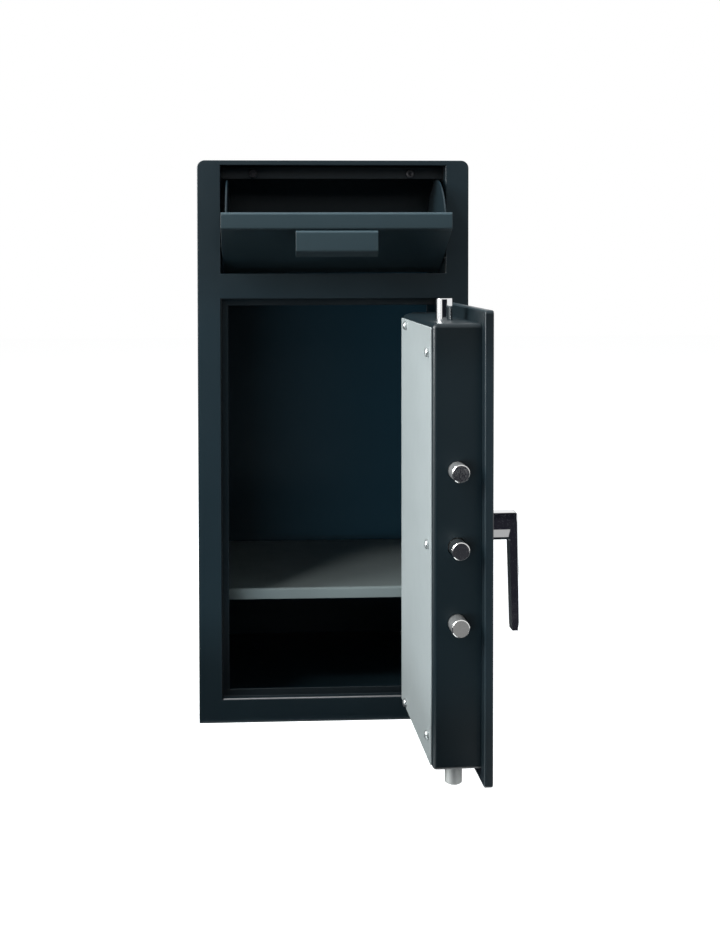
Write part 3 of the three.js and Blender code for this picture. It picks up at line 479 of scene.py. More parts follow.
cabinetLook = {
    "cornerRadius": 10 * mm,
    "leastRadius": 0.5 * mm,
    "wall": 4 * mm,
    "edge": 0.7 * mm,
    "faceEdge": 1.0 * mm,
}
backLook = {"drop": 0.25 * mm, "footCorner": 1 * mm, "headCorner": 6 * mm}
jambLook = {"sheet": 2.5 * mm, "flange": 9.5 * mm, "bend": 1.2 * mm, "edge": 1.0 * mm}


def cabinetCorners(box, inset=0.0):
    low, high = box
    radius = max(cabinetLook["cornerRadius"] - inset, cabinetLook["leastRadius"])
    return [
        (low.x + inset, low.z), (low.x + inset, high.z - inset, radius),
        (high.x - inset, high.z - inset, radius), (high.x - inset, low.z),
    ]


def makeWrap():
    low, high = drawnBox("cabinet_wrap")
    outer = roundedPath(cabinetCorners((low, high)), closed=False, steps=12)
    inner = roundedPath(cabinetCorners((low, high), cabinetLook["wall"]), closed=False, steps=12)
    mesh = cutSheet([outer + inner[::-1]], "y", (low.y, high.y), cabinetLook["edge"])
    addPiece("bodyWrap", mesh, ["cabinet_wrap"], finish="wrapPaint")


# The heights of the openings' edges: the doorway's bottom and top, then the hopper opening's.
def openingHeights(half):
    vertices = frame["nodes"]["front_frame"].data.vertices
    return sorted({round(vertex.co.z, 5) for vertex in vertices if abs(abs(vertex.co.x) - half) < nearGap})


def makeFrontFace():
    low, high = drawnBox("front_frame")
    half = drawnBox("door_jamb")[1].x - jambLook["sheet"]
    doorSill, doorHead, hopperSill, hopperHead = openingHeights(half)
    outer = roundedPath(cabinetCorners((low, high)), steps=12)
    doorway = rectangle(-half, half, doorSill, doorHead)
    hopperWay = rectangle(-half, half, hopperSill, hopperHead)
    mesh = cutSheet([outer, doorway, hopperWay], "y", (low.y, high.y), cabinetLook["faceEdge"])
    addPiece("frontFace", mesh, ["front_frame"])


# A bent frame round the doorway: the same section runs round four mitred corners.
def makeJamb():
    low, high = drawnBox("door_jamb")
    sheet, bend = jambLook["sheet"], jambLook["bend"]
    inside = sheet + jambLook["flange"]
    section = roundedPath([
        (0, low.y), (0, high.y, bend + sheet), (inside, high.y, jambLook["edge"]),
        (inside, high.y - sheet, jambLook["edge"]), (sheet, high.y - sheet, bend), (sheet, low.y),
    ])
    work = bmesh.new()
    loops = []
    for inset, depth in section:
        corners = [
            (low.x + inset, depth, low.z + inset), (high.x - inset, depth, low.z + inset),
            (high.x - inset, depth, high.z - inset), (low.x + inset, depth, high.z - inset),
        ]
        loops.append([work.verts.new(corner) for corner in corners])
    for first, second in zip(loops, loops[1:] + loops[:1]):
        for i in range(4):
            j = (i + 1) % 4
            work.faces.new((first[i], first[j], second[j], second[i]))
    bmesh.ops.recalc_face_normals(work, faces=work.faces)
    mesh = bpy.data.meshes.new("jamb")
    work.to_mesh(mesh)
    work.free()
    # The jamb takes the darker charcoal copy: painted shade.
    addPiece("doorJamb", mesh, ["door_jamb"], finish="jambPaintedShade")


sillHighlightLook = {
    "inset": 2 * mm, "front": 0.3 * mm, "depth": 2.2 * mm, "height": 1.3 * mm, "edge": 0.3 * mm, "end": 0.1 * mm,
}


# A thin pale bare strip along the doorway's foot: a painted highlight for the light caught along the sill's edge.
def makeSillHighlightStrip():
    front = drawnBox("front_frame")[0].y
    half = drawnBox("door_jamb")[1].x - jambLook["sheet"]
    sill = openingHeights(half)[0]
    near = front + sillHighlightLook["front"]
    section = rectangle(near, near + sillHighlightLook["depth"], sill, sill + sillHighlightLook["height"], sillHighlightLook["edge"])
    span = (-half + sillHighlightLook["inset"], half - sillHighlightLook["inset"])
    mesh = cutSheet([section], "x", span, sillHighlightLook["end"])
    addPiece("sillHighlightStrip", mesh, [], finish="sillHighlightMetal", slot="zinc", body="cabinet")


makeWrap()
makeFrontFace()
makeJamb()
makeSillHighlightStrip()

shelfLook = {"sheet": 2 * mm, "bend": 1.5 * mm, "edge": 0.35 * mm}


def makeShelf():
    low, high = drawnBox("shelf")
    face = [(low.y, low.z), (low.y, high.z), (high.y, high.z)]
    section = sheetOutline(face, shelfLook["sheet"], shelfLook["bend"])
    addPiece("shelfDeck", cutSheet([section], "x", (low.x, high.x), shelfLook["edge"]), ["shelf"])


makeShelf()


def makeBackSheet():
    low, high = drawnBox("back_panel")
    low.z -= backLook["drop"]    # down to the base, so that no light shows through
    foot, head = backLook["footCorner"], backLook["headCorner"]
    outer = roundedPath([(low.x, low.z, foot), (high.x, low.z, foot), (high.x, high.z, head), (low.x, high.z, head)])
    mesh = cutSheet([outer], "y", (low.y, high.y), cabinetLook["edge"])
    # The back sheet takes the bluer, lighter copy: a tint of its own and painted light.
    addPiece("backSheet", mesh, ["back_panel"], finish="backTintAndPaintedLight")


makeBackSheet()
print("cabinet made")

# Hopper

hopperLook = {
    "sheet": 2 * mm,
    "bend": 1.5 * mm,
    "edge": 0.4 * mm,
    "lip": 21 * mm,
    "return": 8 * mm,
    "pullDrop": 24 * mm,
    "pullCurl": 9 * mm,
    "pullTab": 11 * mm,
    "pullCurlAngle": 45,
    "pullSeat": 0.3 * mm,
}
stopLook = {"rim": 1.6 * mm, "lip": 0.8 * mm, "hollow": 1 * mm, "foot": 0.5 * mm, "lipShare": 0.45, "footShare": 0.35}


def hopperLean():
    return math.radians(-jointNamed("hopper_tilt")["range_deg"][0])


# The flap, drawn shut: foot, bend, lip and its return.
def flapCorners():
    low, high = drawnBox("hopper_flap", hopperOpen)
    lean = hopperLean()
    lip, back = hopperLook["lip"], hopperLook["return"]
    bend = Vector((low.y, high.z - lip * math.cos(lean)))
    tip = bend + lip * Vector((math.sin(lean), math.cos(lean)))
    hem = tip + back * Vector((math.cos(lean), -math.sin(lean)))
    return Vector((low.y, low.z)), bend, tip, hem


def makeFlap():
    low, high = drawnBox("hopper_flap", hopperOpen)
    section = sheetOutline(flapCorners(), hopperLook["sheet"], hopperLook["bend"])
    mesh = cutSheet([section], "x", (low.x, high.x), hopperLook["edge"])
    # The flap takes the lighter charcoal copy: painted light.
    addPiece("hopperFlap", mesh, ["hopper_flap"], hopperOpen, finish="hopperPaintedLight")


def makePull():
    low, high = drawnBox("flap_pull", hopperOpen)
    lean = hopperLean()
    curl = lean - math.radians(hopperLook["pullCurlAngle"])
    _, bend, _, _ = flapCorners()
    face = bend.x - hopperLook["pullSeat"] - hopperLook["sheet"]
    top = bend.y - hopperLook["bend"]
    drop = hopperLook["pullDrop"]
    tip = Vector((face - drop * math.sin(lean), top - drop * math.cos(lean)))
    end = tip - hopperLook["pullCurl"] * Vector((math.sin(curl), math.cos(curl)))
    section = sheetOutline([(face, top - hopperLook["pullTab"]), (face, top), tip, end], hopperLook["sheet"],
                           hopperLook["bend"])
    mesh = cutSheet([section], "x", (low.x, high.x), hopperLook["edge"])
    # The pull takes the lighter charcoal copy: painted light.
    addPiece("fingerPull", mesh, ["flap_pull"], hopperOpen, finish="hopperPaintedLight")


def makeHeader():
    low, high = drawnBox("hopper_header")
    face = [(low.y, low.z), (low.y, high.z), (high.y, high.z)]
    section = sheetOutline(face, hopperLook["sheet"], hopperLook["bend"])
    addPiece("hopperHeader", cutSheet([section], "x", (low.x, high.x), hopperLook["edge"]), ["hopper_header"])


def makeBumpStops():
    for side in ("left", "right"):
        low, high = drawnBox(f"bump_stop_{side}")
        radius = (high.x - low.x) / 2
        centre = ((low.x + high.x) / 2, 0, (low.z + high.z) / 2)
        hollow = low.y + stopLook["hollow"]
        profile = roundedPath([
            (0, high.y), (radius, high.y), (radius, low.y, stopLook["rim"]),
            (stopLook["lipShare"] * radius, low.y, stopLook["lip"]),
            (stopLook["footShare"] * radius, hollow, stopLook["foot"]), (0, hollow),
        ], closed=False)
        mesh = turnedMesh(profile, "y", centre, 40)
        addPiece(f"bumpStop{side.title()}", mesh, [f"bump_stop_{side}"])


makeFlap()
makePull()
makeHeader()
makeBumpStops()
print("hopper made")

# Door

doorLook = {
    "clear": 1 * mm,           # how far a cutter runs past what it cuts
    "plateEdge": 1.7 * mm,
    "plateCorner": 4 * mm,
    "boxSheet": 2 * mm,
    "boxCorner": 5 * mm,
    "bevelWidth": 58 * mm,
    "bevelDepth": 20 * mm,
    "hatchMargin": 28 * mm,
    "hatchDepth": 5 * mm,
    "bushGap": 0.3 * mm,
    "panelCorner": 2 * mm,
    "panelEdge": 0.35 * mm,
    "inward": 0.99,            # a face that points this much to the box counts as the plate's inner side
}
boltLook = {
    "gap": 0.7 * mm, "chamfer": 0.9 * mm, "round": 0.2 * mm,
    "lugLength": 24 * mm, "lugHalf": 7 * mm, "lugGap": 0.2 * mm,
    "across": 0.1,    # a face that points less than this along the bolt is its shaft's
}
keyLook = {
    "holeRadius": 2.2 * mm, "holeSlot": 2.4 * mm, "holeDrop": 5 * mm, "holeEdge": 0.05 * mm, "wayRadius": 5.5 * mm,
    "plateRim": 0.7 * mm, "plateSlope": 1 * mm, "rimRound": 0.4 * mm, "slopeRound": 0.6 * mm,
    "coverEdge": 0.45 * mm, "coverHole": 2.3 * mm, "pinRadius": 2 * mm, "pinHead": 1.6 * mm, "pinRound": 1.2 * mm,
}


def middle(box):
    return (box[0] + box[1]) / 2


def makeDoorPlate():
    low, high = drawnBox("door_plate", doorOpen)
    bushBox = drawnBox("spindle_bush", doorOpen)
    bush = middle(bushBox)
    bushRadius = (bushBox[1].x - bushBox[0].x) / 2
    outer = rectangle(low.x, high.x, low.z, high.z, doorLook["plateCorner"])
    hole = circle(bush.x, bush.z, bushRadius + doorLook["bushGap"] + doorLook["plateEdge"])
    key = middle(drawnBox("keyhole_plate", doorOpen))
    keyway = circle(key.x, key.z, keyLook["wayRadius"] + doorLook["plateEdge"], 32)
    mesh = cutSheet([outer, hole, keyway], "y", (low.y, high.y), doorLook["plateEdge"])
    inner = [polygon.index for polygon in mesh.polygons if polygon.normal.y > doorLook["inward"]]
    # The plate takes the lighter charcoal copy: painted light.
    plate = addPiece("doorPlate", mesh, ["door_plate"], doorOpen, finish="platePaintedLight")
    # The plate's inner face takes the darker box copy: painted shade.
    plate.data.materials.append(finishes["boxPaintedShade"])
    for index in inner:
        plate.data.polygons[index].material_index = 1


def boltCutter(node, facing):
    low, high = drawnBox(node, doorOpen)
    centre = middle((low, high))
    gap = boltLook["gap"]
    if facing == "x":
        radius, ends = (high.z - low.z) / 2 + gap, (low.x, high.x)
        place = (0, centre.y, centre.z)
    else:
        radius, ends = (high.x - low.x) / 2 + gap, (low.z, high.z)
        place = (centre.x, low.y + radius - gap, 0)
    return turnedMesh([(0, ends[0]), (radius, ends[0]), (radius, ends[1]), (0, ends[1])], facing, place, 48)


def makeDoorBox():
    low, high = drawnBox("door_box", doorOpen)
    plan = [
        (low.x, low.y), (high.x, low.y), (high.x, high.y - doorLook["bevelDepth"]),
        (high.x - doorLook["bevelWidth"], high.y), (low.x, high.y),
    ]
    work = bmesh.new()
    floor = work.faces.new([work.verts.new((x, y, low.z)) for x, y in plan])
    raised = bmesh.ops.extrude_face_region(work, geom=[floor])
    lifted = [item for item in raised["geom"] if isinstance(item, bmesh.types.BMVert)]
    bmesh.ops.translate(work, verts=lifted, vec=(0, 0, high.z - low.z))
    bmesh.ops.recalc_face_normals(work, faces=work.faces)
    front = [face for face in work.faces if all(abs(vertex.co.y - low.y) < 1e-6 for vertex in face.verts)]
    bmesh.ops.delete(work, geom=front, context="FACES_ONLY")
    folded = [edge for edge in work.edges if not edge.is_boundary]
    bmesh.ops.bevel(work, geom=folded, offset=doorLook["boxCorner"], segments=6, profile=0.5, affect="EDGES")
    mesh = bpy.data.meshes.new("box")
    work.to_mesh(mesh)
    work.free()
    holder = bpy.data.objects.new("work", mesh)
    scene.collection.objects.link(holder)
    skin = holder.modifiers.new("skin", "SOLIDIFY")
    skin.thickness = doorLook["boxSheet"]
    skin.offset = -1
    mesh = takeMesh(holder)
    margin = doorLook["hatchMargin"]
    hatch = blockMesh(
        (low.x + margin, high.y - doorLook["hatchDepth"], low.z + margin),
        (high.x - doorLook["bevelWidth"] - margin, high.y + doorLook["clear"], high.z - margin),
    )
    cutters = [boltCutter(f"side_bolt_{word}", "x") for word in ("upper", "middle", "lower")]
    cutters += [boltCutter("top_bolt", "z"), boltCutter("bottom_bolt", "z"), hatch]
    # The box takes the darker charcoal copy: painted shade.
    addPiece("doorBox", carve(mesh, *cutters), ["door_box"], doorOpen, finish="boxPaintedShade")


screwNodes = [f"panel_screw_{i}" for i in range(1, 6)]


def makeServicePanel():
    low, high = drawnBox("service_panel", doorOpen)
    outer = rectangle(low.x, high.x, low.z, high.z, doorLook["panelCorner"])
    holes = []
    for node in screwNodes:
        centre = middle(drawnBox(node, doorOpen))
        holes.append(circle(centre.x, centre.z, screwLook["hole"], 20))
    mesh = cutSheet([outer, *holes], "y", (low.y, high.y), doorLook["panelEdge"])
    addPiece("servicePanel", mesh, ["service_panel"], doorOpen)


screwLook = {
    "radius": 5.2 * mm, "rim": 1.4 * mm, "height": 2.4 * mm, "rise": 1.7 * mm, "shank": 2 * mm, "slot": 1.3 * mm,
    "reach": 3.3 * mm, "cut": 1.9 * mm, "hole": 2.3 * mm, "foot": 0.2 * mm, "steps": 9,
    "turn": 0.6,    # each cross stands this much further round, in radians
}


def makePanelScrews():
    radius, rim = screwLook["radius"], screwLook["rim"]
    height = screwLook["height"] + screwLook["rise"]
    steps, foot, shank = screwLook["steps"], screwLook["foot"], screwLook["shank"]
    for number, node in enumerate(screwNodes, 1):
        low, high = drawnBox(node, doorOpen)
        centre = middle((low, high))
        top = high.y + screwLook["rise"]
        seat = top - height
        dome = []
        for step in range(steps):
            angle = math.pi / 2 * step / steps
            dome.append((radius * math.cos(angle), seat + rim + (height - rim) * math.sin(angle)))
        profile = [
            (0, low.y), (shank, low.y), (shank, seat), (radius - foot, seat), (radius, seat + foot), *dome, (0, top),
        ]
        head = turnedMesh(profile, "y", (centre.x, 0, centre.z), 36)
        half, reach = screwLook["slot"] / 2, screwLook["reach"]
        bottom, above = top - screwLook["cut"], top + doorLook["clear"]
        across = blockMesh((-reach, bottom, -half), (reach, above, half))
        upright = blockMesh((-half, bottom, -reach), (half, above, reach))
        turn = Matrix.Translation((centre.x, 0, centre.z)) @ Matrix.Rotation(screwLook["turn"] * number, 4, "Y")
        across.transform(turn)
        upright.transform(turn)
        addPiece(f"panelScrew{number}", carve(head, across, upright), [node], doorOpen, finish="screwMetal")


def makeSideBolts():
    for word in ("upper", "middle", "lower"):
        node = f"side_bolt_{word}"
        low, high = drawnBox(node, doorOpen)
        centre = middle((low, high))
        radius = (high.z - low.z) / 2
        chamfer, soft = boltLook["chamfer"], boltLook["round"]
        profile = roundedPath([
            (0, low.x), (radius - chamfer, low.x, soft), (radius, low.x + chamfer, soft),
            (radius, high.x), (0, high.x),
        ], closed=False, steps=4)
        mesh = turnedMesh(profile, "x", (0, centre.y, centre.z))
        shaft = [polygon.index for polygon in mesh.polygons if abs(polygon.normal.x) < boltLook["across"]]
        bolt = addPiece(f"sideBolt{word.title()}", mesh, [node], doorOpen, finish="boltMetal")
        # The upper and lower shafts take the duller copy: painted light.
        if word != "middle":
            bolt.data.materials.append(finishes["shaftMetalPaintedLight"])
            for index in shaft:
                bolt.data.polygons[index].material_index = 1


def makeUprightBolt(word, outward):
    node = f"{word}_bolt"
    low, high = drawnBox(node, doorOpen)
    radius = (high.x - low.x) / 2
    chamfer, soft = boltLook["chamfer"], boltLook["round"]
    tip, foot = (high.z, low.z) if outward > 0 else (low.z, high.z)
    profile = roundedPath([
        (0, foot), (radius, foot), (radius, tip - outward * chamfer, soft), (radius - chamfer, tip, soft), (0, tip),
    ], closed=False, steps=4)
    centre = (middle((low, high)).x, low.y + radius, 0)
    body = turnedMesh(profile if outward > 0 else profile[::-1], "z", centre)
    half = boltLook["lugHalf"]
    lugFoot, lugTop = sorted((foot, foot + outward * boltLook["lugLength"]))
    lugStart = (centre[0] - half, centre[1], lugFoot + boltLook["lugGap"])
    lug = blockMesh(lugStart, (centre[0] + half, high.y, lugTop))
    # The bottom bolt takes the duller copy: painted light.
    finish = "bottomBoltPaintedLight" if word == "bottom" else None
    addPiece(f"{word}Bolt", unite(body, lug), [node], doorOpen, finish=finish)


makeDoorPlate()
makeDoorBox()
makeServicePanel()
makePanelScrews()
makeSideBolts()
makeUprightBolt("top", 1)
makeUprightBolt("bottom", -1)
print("door made")

# Lever and lock

leverLook = {
    "standoff": 31.8 * mm,
    "thickness": 9.4 * mm,
    "neckHeight": 32 * mm,
    "neckWidth": 16 * mm,
    "tipWidth": 13.5 * mm,
    "splay": 3 * mm,
    "corner": 3 * mm,
    "inside": 0.6 * mm,
    "chamfer": 1.2 * mm,
    "rake": 1.4 * mm,          # how far the outer chamfer runs on over the sides
    "keelHeight": 12.8 * mm,   # the neck's slanted lower part, and its steeper foot
    "keelDepth": 3.2 * mm,
    "footHeight": 3.4 * mm,
    "footDepth": 3 * mm,
    "browHeight": 7.5 * mm,    # the slanted upper part
    "browDepth": 0.8 * mm,
    "rimAngle": 60,
    "cornerReach": 0.3 * mm,   # how near to the sides a corner counts as the chamfer's
    "keelStart": 0.3 * mm,     # the slanted part ends this far behind the grip
    "keelClear": 4 * mm,
    "clear": 1 * mm,
    "under": 0.1 * mm,
}


def makeLever():
    low, high = drawnBox("lever_handle", doorOpen)
    spindle = middle(drawnBox("handle_spindle", doorOpen))
    plateFront = drawnBox("door_plate", doorOpen)[0].y
    inner = plateFront - leverLook["standoff"]
    outer = inner - leverLook["thickness"]
    neckLow = high.z - leverLook["neckHeight"]
    splay, corner = leverLook["splay"], leverLook["corner"]
    outline = roundedPath([
        (high.y, neckLow), (high.y, high.z), (outer, high.z, corner), (outer - splay, low.z, corner / 2),
        (inner - splay, low.z, corner / 2), (inner, neckLow, leverLook["inside"]),
    ], steps=5)
    work = bmesh.new()
    half = leverLook["neckWidth"] / 2
    face = work.faces.new([work.verts.new((-half, y, z)) for y, z in outline])
    grown = bmesh.ops.extrude_face_region(work, geom=[face])
    moved = [item for item in grown["geom"] if isinstance(item, bmesh.types.BMVert)]
    bmesh.ops.translate(work, verts=moved, vec=(2 * half, 0, 0))
    clear, chamfer = leverLook["clear"], leverLook["chamfer"]

    def downGrip(vertex):
        return max(0, (neckLow - vertex.co.z) / (neckLow - low.z))

    def narrowing(vertex):
        return 1 - downGrip(vertex) * (1 - leverLook["tipWidth"] / leverLook["neckWidth"])

    for vertex in work.verts:
        vertex.co.x *= narrowing(vertex)
    bmesh.ops.recalc_face_normals(work, faces=work.faces)
    rims = [
        edge for edge in work.edges
        if edge.calc_face_angle(0) > math.radians(leverLook["rimAngle"])
        and abs(edge.verts[0].co.x - edge.verts[1].co.x) < clear
    ]
    bmesh.ops.bevel(work, geom=rims, offset=chamfer, segments=1, affect="EDGES")
    for vertex in work.verts:
        atSide = abs(vertex.co.x) > half * narrowing(vertex) - leverLook["cornerReach"]
        if atSide and vertex.co.y < outer - downGrip(vertex) * splay + 2 * chamfer:
            vertex.co.y += leverLook["rake"]
    mesh = bpy.data.meshes.new("lever")
    work.to_mesh(mesh)
    work.free()
    keelTop, keelDepth = neckLow + leverLook["keelHeight"], leverLook["keelDepth"]
    browFoot, browDepth = high.z - leverLook["browHeight"], leverLook["browDepth"]
    foot, depth = neckLow + leverLook["footHeight"], keelDepth + leverLook["footDepth"]
    below, above, beyond = neckLow - leverLook["under"], high.z + clear, half + leverLook["keelClear"]
    keel = [(half, keelTop), (beyond, keelTop), (beyond, below), (half - depth, below), (half - keelDepth, foot)]
    brow = [
        (half, browFoot), (half - browDepth, high.z), (half - browDepth, above), (half + clear, above),
        (half + clear, browFoot),
    ]
    cutters = []
    for side in (-1, 1):
        for shape, start in ((keel, inner - leverLook["keelStart"]), (brow, outer - clear)):
            cutters.append(cutSheet([[Vector((side * x, z)) for x, z in shape]], "y", (start, high.y + clear), 0))
    mesh = carve(mesh, *cutters)
    mesh.transform(Matrix.Translation((spindle.x, 0, 0)))
    addPiece("leverHandle", mesh, ["lever_handle"], doorOpen, sharpAngle=12)


roseLook = {
    "bore": 6.3 * mm, "crown": 5 * mm, "valley": 3.5 * mm, "rim": 1 * mm, "valleyDrop": 0.8 * mm, "rimDrop": 1.8 * mm,
    "round": 1 * mm, "shoulder": 0.8 * mm, "edge": 0.4 * mm,
}


# Its profile: a flat crown, a step down to a flat ring, a slope to the edge.
def makeRose():
    low, high = drawnBox("handle_rose", doorOpen)
    centre = middle((low, high))
    radius = (high.x - low.x) / 2
    bore, soft, ring = roseLook["bore"], roseLook["round"], low.y + roseLook["valleyDrop"]
    profile = roundedPath([
        (bore, low.y), (radius - roseLook["crown"], low.y, soft), (radius - roseLook["valley"], ring, soft),
        (radius - roseLook["rim"], ring, roseLook["shoulder"]),
        (radius, low.y + roseLook["rimDrop"], roseLook["edge"]), (radius, high.y), (bore, high.y), (bore, low.y),
    ], closed=False, steps=4)
    addPiece("handleRose", turnedMesh(profile, "y", (centre.x, 0, centre.z)), ["handle_rose"], doorOpen)


def keyholeLoop(x, z):
    radius, half, drop = keyLook["holeRadius"], keyLook["holeSlot"] / 2, keyLook["holeDrop"]
    start = -math.pi / 2 + math.asin(half / radius)
    steps = 20
    turn = (math.tau - 2 * math.asin(half / radius)) / steps
    points = [Vector((x + half, z - drop)), *[
        Vector((x + radius * math.cos(start + i * turn), z + radius * math.sin(start + i * turn)))
        for i in range(steps + 1)
    ], Vector((x - half, z - drop))]
    return points


def makeKeyholePlate():
    low, high = drawnBox("keyhole_plate", doorOpen)
    centre = middle((low, high))
    radius = (high.x - low.x) / 2
    profile = roundedPath([
        (0, high.y), (radius, high.y), (radius, low.y + keyLook["plateRim"], keyLook["rimRound"]),
        (radius - keyLook["plateSlope"], low.y, keyLook["slopeRound"]), (0, low.y),
    ], closed=False, steps=4)
    disc = turnedMesh(profile[::-1], "y", (centre.x, 0, centre.z))
    clear = doorLook["clear"]
    key = cutSheet([keyholeLoop(centre.x, centre.z)], "y", (low.y - clear, high.y + clear), keyLook["holeEdge"])
    addPiece("keyholePlate", carve(disc, key), ["keyhole_plate"], doorOpen)


# The cover is a leaf between two circles, a large one below and a small ear round its pin.
def makeKeyholeCover():
    coverLow, coverHigh = drawnBox("keyhole_cover", doorOpen)
    coverRadius = (coverHigh.x - coverLow.x) / 2
    pinBox = drawnBox("cover_pin", doorOpen)
    pin = middle(pinBox)
    leafZ = coverLow.z + coverRadius
    ear = coverHigh.z - pin.z
    lean = math.asin((coverRadius - ear) / (pin.z - leafZ))
    leaf = []
    arcs = ((leafZ, coverRadius, math.pi - lean, math.pi + 2 * lean, 40), (pin.z, ear, lean, math.pi - 2 * lean, 20))
    for z, radius, start, sweep, steps in arcs:
        for i in range(steps + 1):
            angle = start + sweep * i / steps
            leaf.append(Vector((pin.x + radius * math.cos(angle), z + radius * math.sin(angle))))
    hole = circle(pin.x, pin.z, keyLook["coverHole"], 24)
    cover = cutSheet([leaf, hole], "y", (coverLow.y, coverHigh.y), keyLook["coverEdge"])
    addPiece("keyholeCover", cover, ["keyhole_cover"], doorOpen)
    pinLow, pinHigh = pinBox
    headRadius, shank = (pinHigh.x - pinLow.x) / 2, keyLook["pinRadius"]
    seat = pinLow.y + keyLook["pinHead"]
    profile = roundedPath([
        (0, pinLow.y), (headRadius, pinLow.y, keyLook["pinRound"]), (headRadius, seat), (shank, seat),
        (shank, pinHigh.y), (0, pinHigh.y),
    ], closed=False, steps=5)
    addPiece("coverPin", turnedMesh(profile, "y", (pin.x, 0, pin.z), 32), ["cover_pin"], doorOpen)


makeLever()
makeRose()
makeKeyholePlate()
makeKeyholeCover()
print("lever and lock made")

# What stays as the frame has it gets its finish and softened edges

carriedLook = {"edge": 0.35 * mm, "angle": 40, "weld": 0.005 * mm}
# The hinge pins and washer take the near-black copy: painted shade.
shadedHingeNodes = ("hinge_pin_top", "hinge_pin_bottom", "hinge_washer")


def finishCarried():
    for name, node in frame["nodes"].items():
        if name in replacedNodes:
            continue
        node.data.materials.clear()
        node.data.materials.append(finishes["hingeSteelPaintedShade" if name in shadedHingeNodes else slotOf[name]])
        for polygon in node.data.polygons:
            polygon.use_smooth = True
        weld = node.modifiers.new("weld", "WELD")
        weld.merge_threshold = carriedLook["weld"]
        soften = node.modifiers.new("soften", "BEVEL")
        soften.width = carriedLook["edge"]
        soften.segments = 2
        soften.limit_method = "ANGLE"
        soften.angle_limit = math.radians(carriedLook["angle"])
        normals = node.modifiers.new("normals", "WEIGHTED_NORMAL")
        normals.keep_sharp = True


finishCarried()
print("carried nodes finished:", len(frame["nodes"]) - len(replacedNodes))

# Floor, world and lamps

stageLook = {
    "floorSize": 14.0,
    "floorColour": (0.82, 0.84, 0.85),
    "floorGlow": 0.965,
    "bounceColour": (0.06, 0.08, 0.09),    # what the floor sends up at the object
    "ambient": 0.022,
    "flagColour": (0.010, 0.011, 0.016),
    "floorFlagColour": (0.017, 0.017, 0.024),
    "underColour": (0.012, 0.014, 0.017),
    "floorDrop": 0.2 * mm,
    "underDrop": 0.1 * mm,
    "underInset": 4 * mm,
    "flagLift": 1 * mm,
    "cardLift": 2 * mm,
}


def stagePlane(name, corners):
    mesh = bpy.data.meshes.new(name)
    mesh.from_pydata(corners, [], [tuple(range(len(corners)))])
    plane = bpy.data.objects.new(name, mesh)
    scene.collection.objects.link(plane)
    return plane


def flatCorners(left, right, near, far, height):
    return [(left, near, height), (right, near, height), (right, far, height), (left, far, height)]


def shaderNode(tree, kind, **values):
    node = tree.nodes.new(kind)
    for socket, value in values.items():
        node.inputs[socket].default_value = value
    return node


# The camera and the gloss see a pale lit floor that keeps the shadow. What it bounces up is darker.
def makeFloor():
    half = stageLook["floorSize"] / 2
    floor = stagePlane("studioFloor", flatCorners(-half, half, -half, half, -stageLook["floorDrop"]))
    material = bpy.data.materials.new("studioFloor")
    material.use_nodes = True
    tree = material.node_tree
    tree.nodes.clear()
    output = tree.nodes.new("ShaderNodeOutputMaterial")
    pale = shaderNode(tree, "ShaderNodeBsdfDiffuse", Color=(*stageLook["floorColour"], 1))
    dull = shaderNode(tree, "ShaderNodeBsdfDiffuse", Color=(*stageLook["bounceColour"], 1))
    glow = shaderNode(tree, "ShaderNodeEmission", Strength=stageLook["floorGlow"])
    lit = tree.nodes.new("ShaderNodeAddShader")
    shown = tree.nodes.new("ShaderNodeMixShader")
    tree.links.new(pale.outputs[0], lit.inputs[0])
    tree.links.new(glow.outputs[0], lit.inputs[1])
    tree.links.new(seenDirectly(tree), shown.inputs[0])
    tree.links.new(dull.outputs[0], shown.inputs[1])
    tree.links.new(lit.outputs[0], shown.inputs[2])
    tree.links.new(shown.outputs[0], output.inputs["Surface"])
    floor.data.materials.append(material)


# What stands under the safe is in its own shadow: dark, where the anchor holes look through.
def makeUnderside():
    low, high = drawnBox("cabinet_wrap")
    inset, height = stageLook["underInset"], -stageLook["underDrop"]
    under = stagePlane("underSafe", flatCorners(low.x + inset, high.x - inset, low.y + inset, high.y - inset, height))
    material, _, shader = newFinish("underSafe")
    shader.inputs["Base Color"].default_value = (*stageLook["underColour"], 1)
    under.data.materials.append(material)


def seenDirectly(tree):
    path = tree.nodes.new("ShaderNodeLightPath")
    first = tree.nodes.new("ShaderNodeMath")
    both = tree.nodes.new("ShaderNodeMath")
    first.operation = both.operation = "MAXIMUM"
    tree.links.new(path.outputs["Is Camera Ray"], first.inputs[0])
    tree.links.new(path.outputs["Is Glossy Ray"], first.inputs[1])
    tree.links.new(first.outputs[0], both.inputs[0])
    tree.links.new(path.outputs["Is Transmission Ray"], both.inputs[1])
    return both.outputs[0]


def makeWorld():
    world = bpy.data.worlds.new("studio")
    scene.world = world
    world.use_nodes = True
    tree = world.node_tree
    tree.nodes.clear()
    output = tree.nodes.new("ShaderNodeOutputWorld")
    background = shaderNode(tree, "ShaderNodeBackground", Color=(1, 1, 1, 1))
    strength = tree.nodes.new("ShaderNodeMapRange")
    strength.inputs["To Min"].default_value = stageLook["ambient"]
    strength.inputs["To Max"].default_value = 1
    tree.links.new(seenDirectly(tree), strength.inputs["Value"])
    tree.links.new(strength.outputs["Result"], background.inputs["Strength"])
    tree.links.new(background.outputs[0], output.inputs["Surface"])


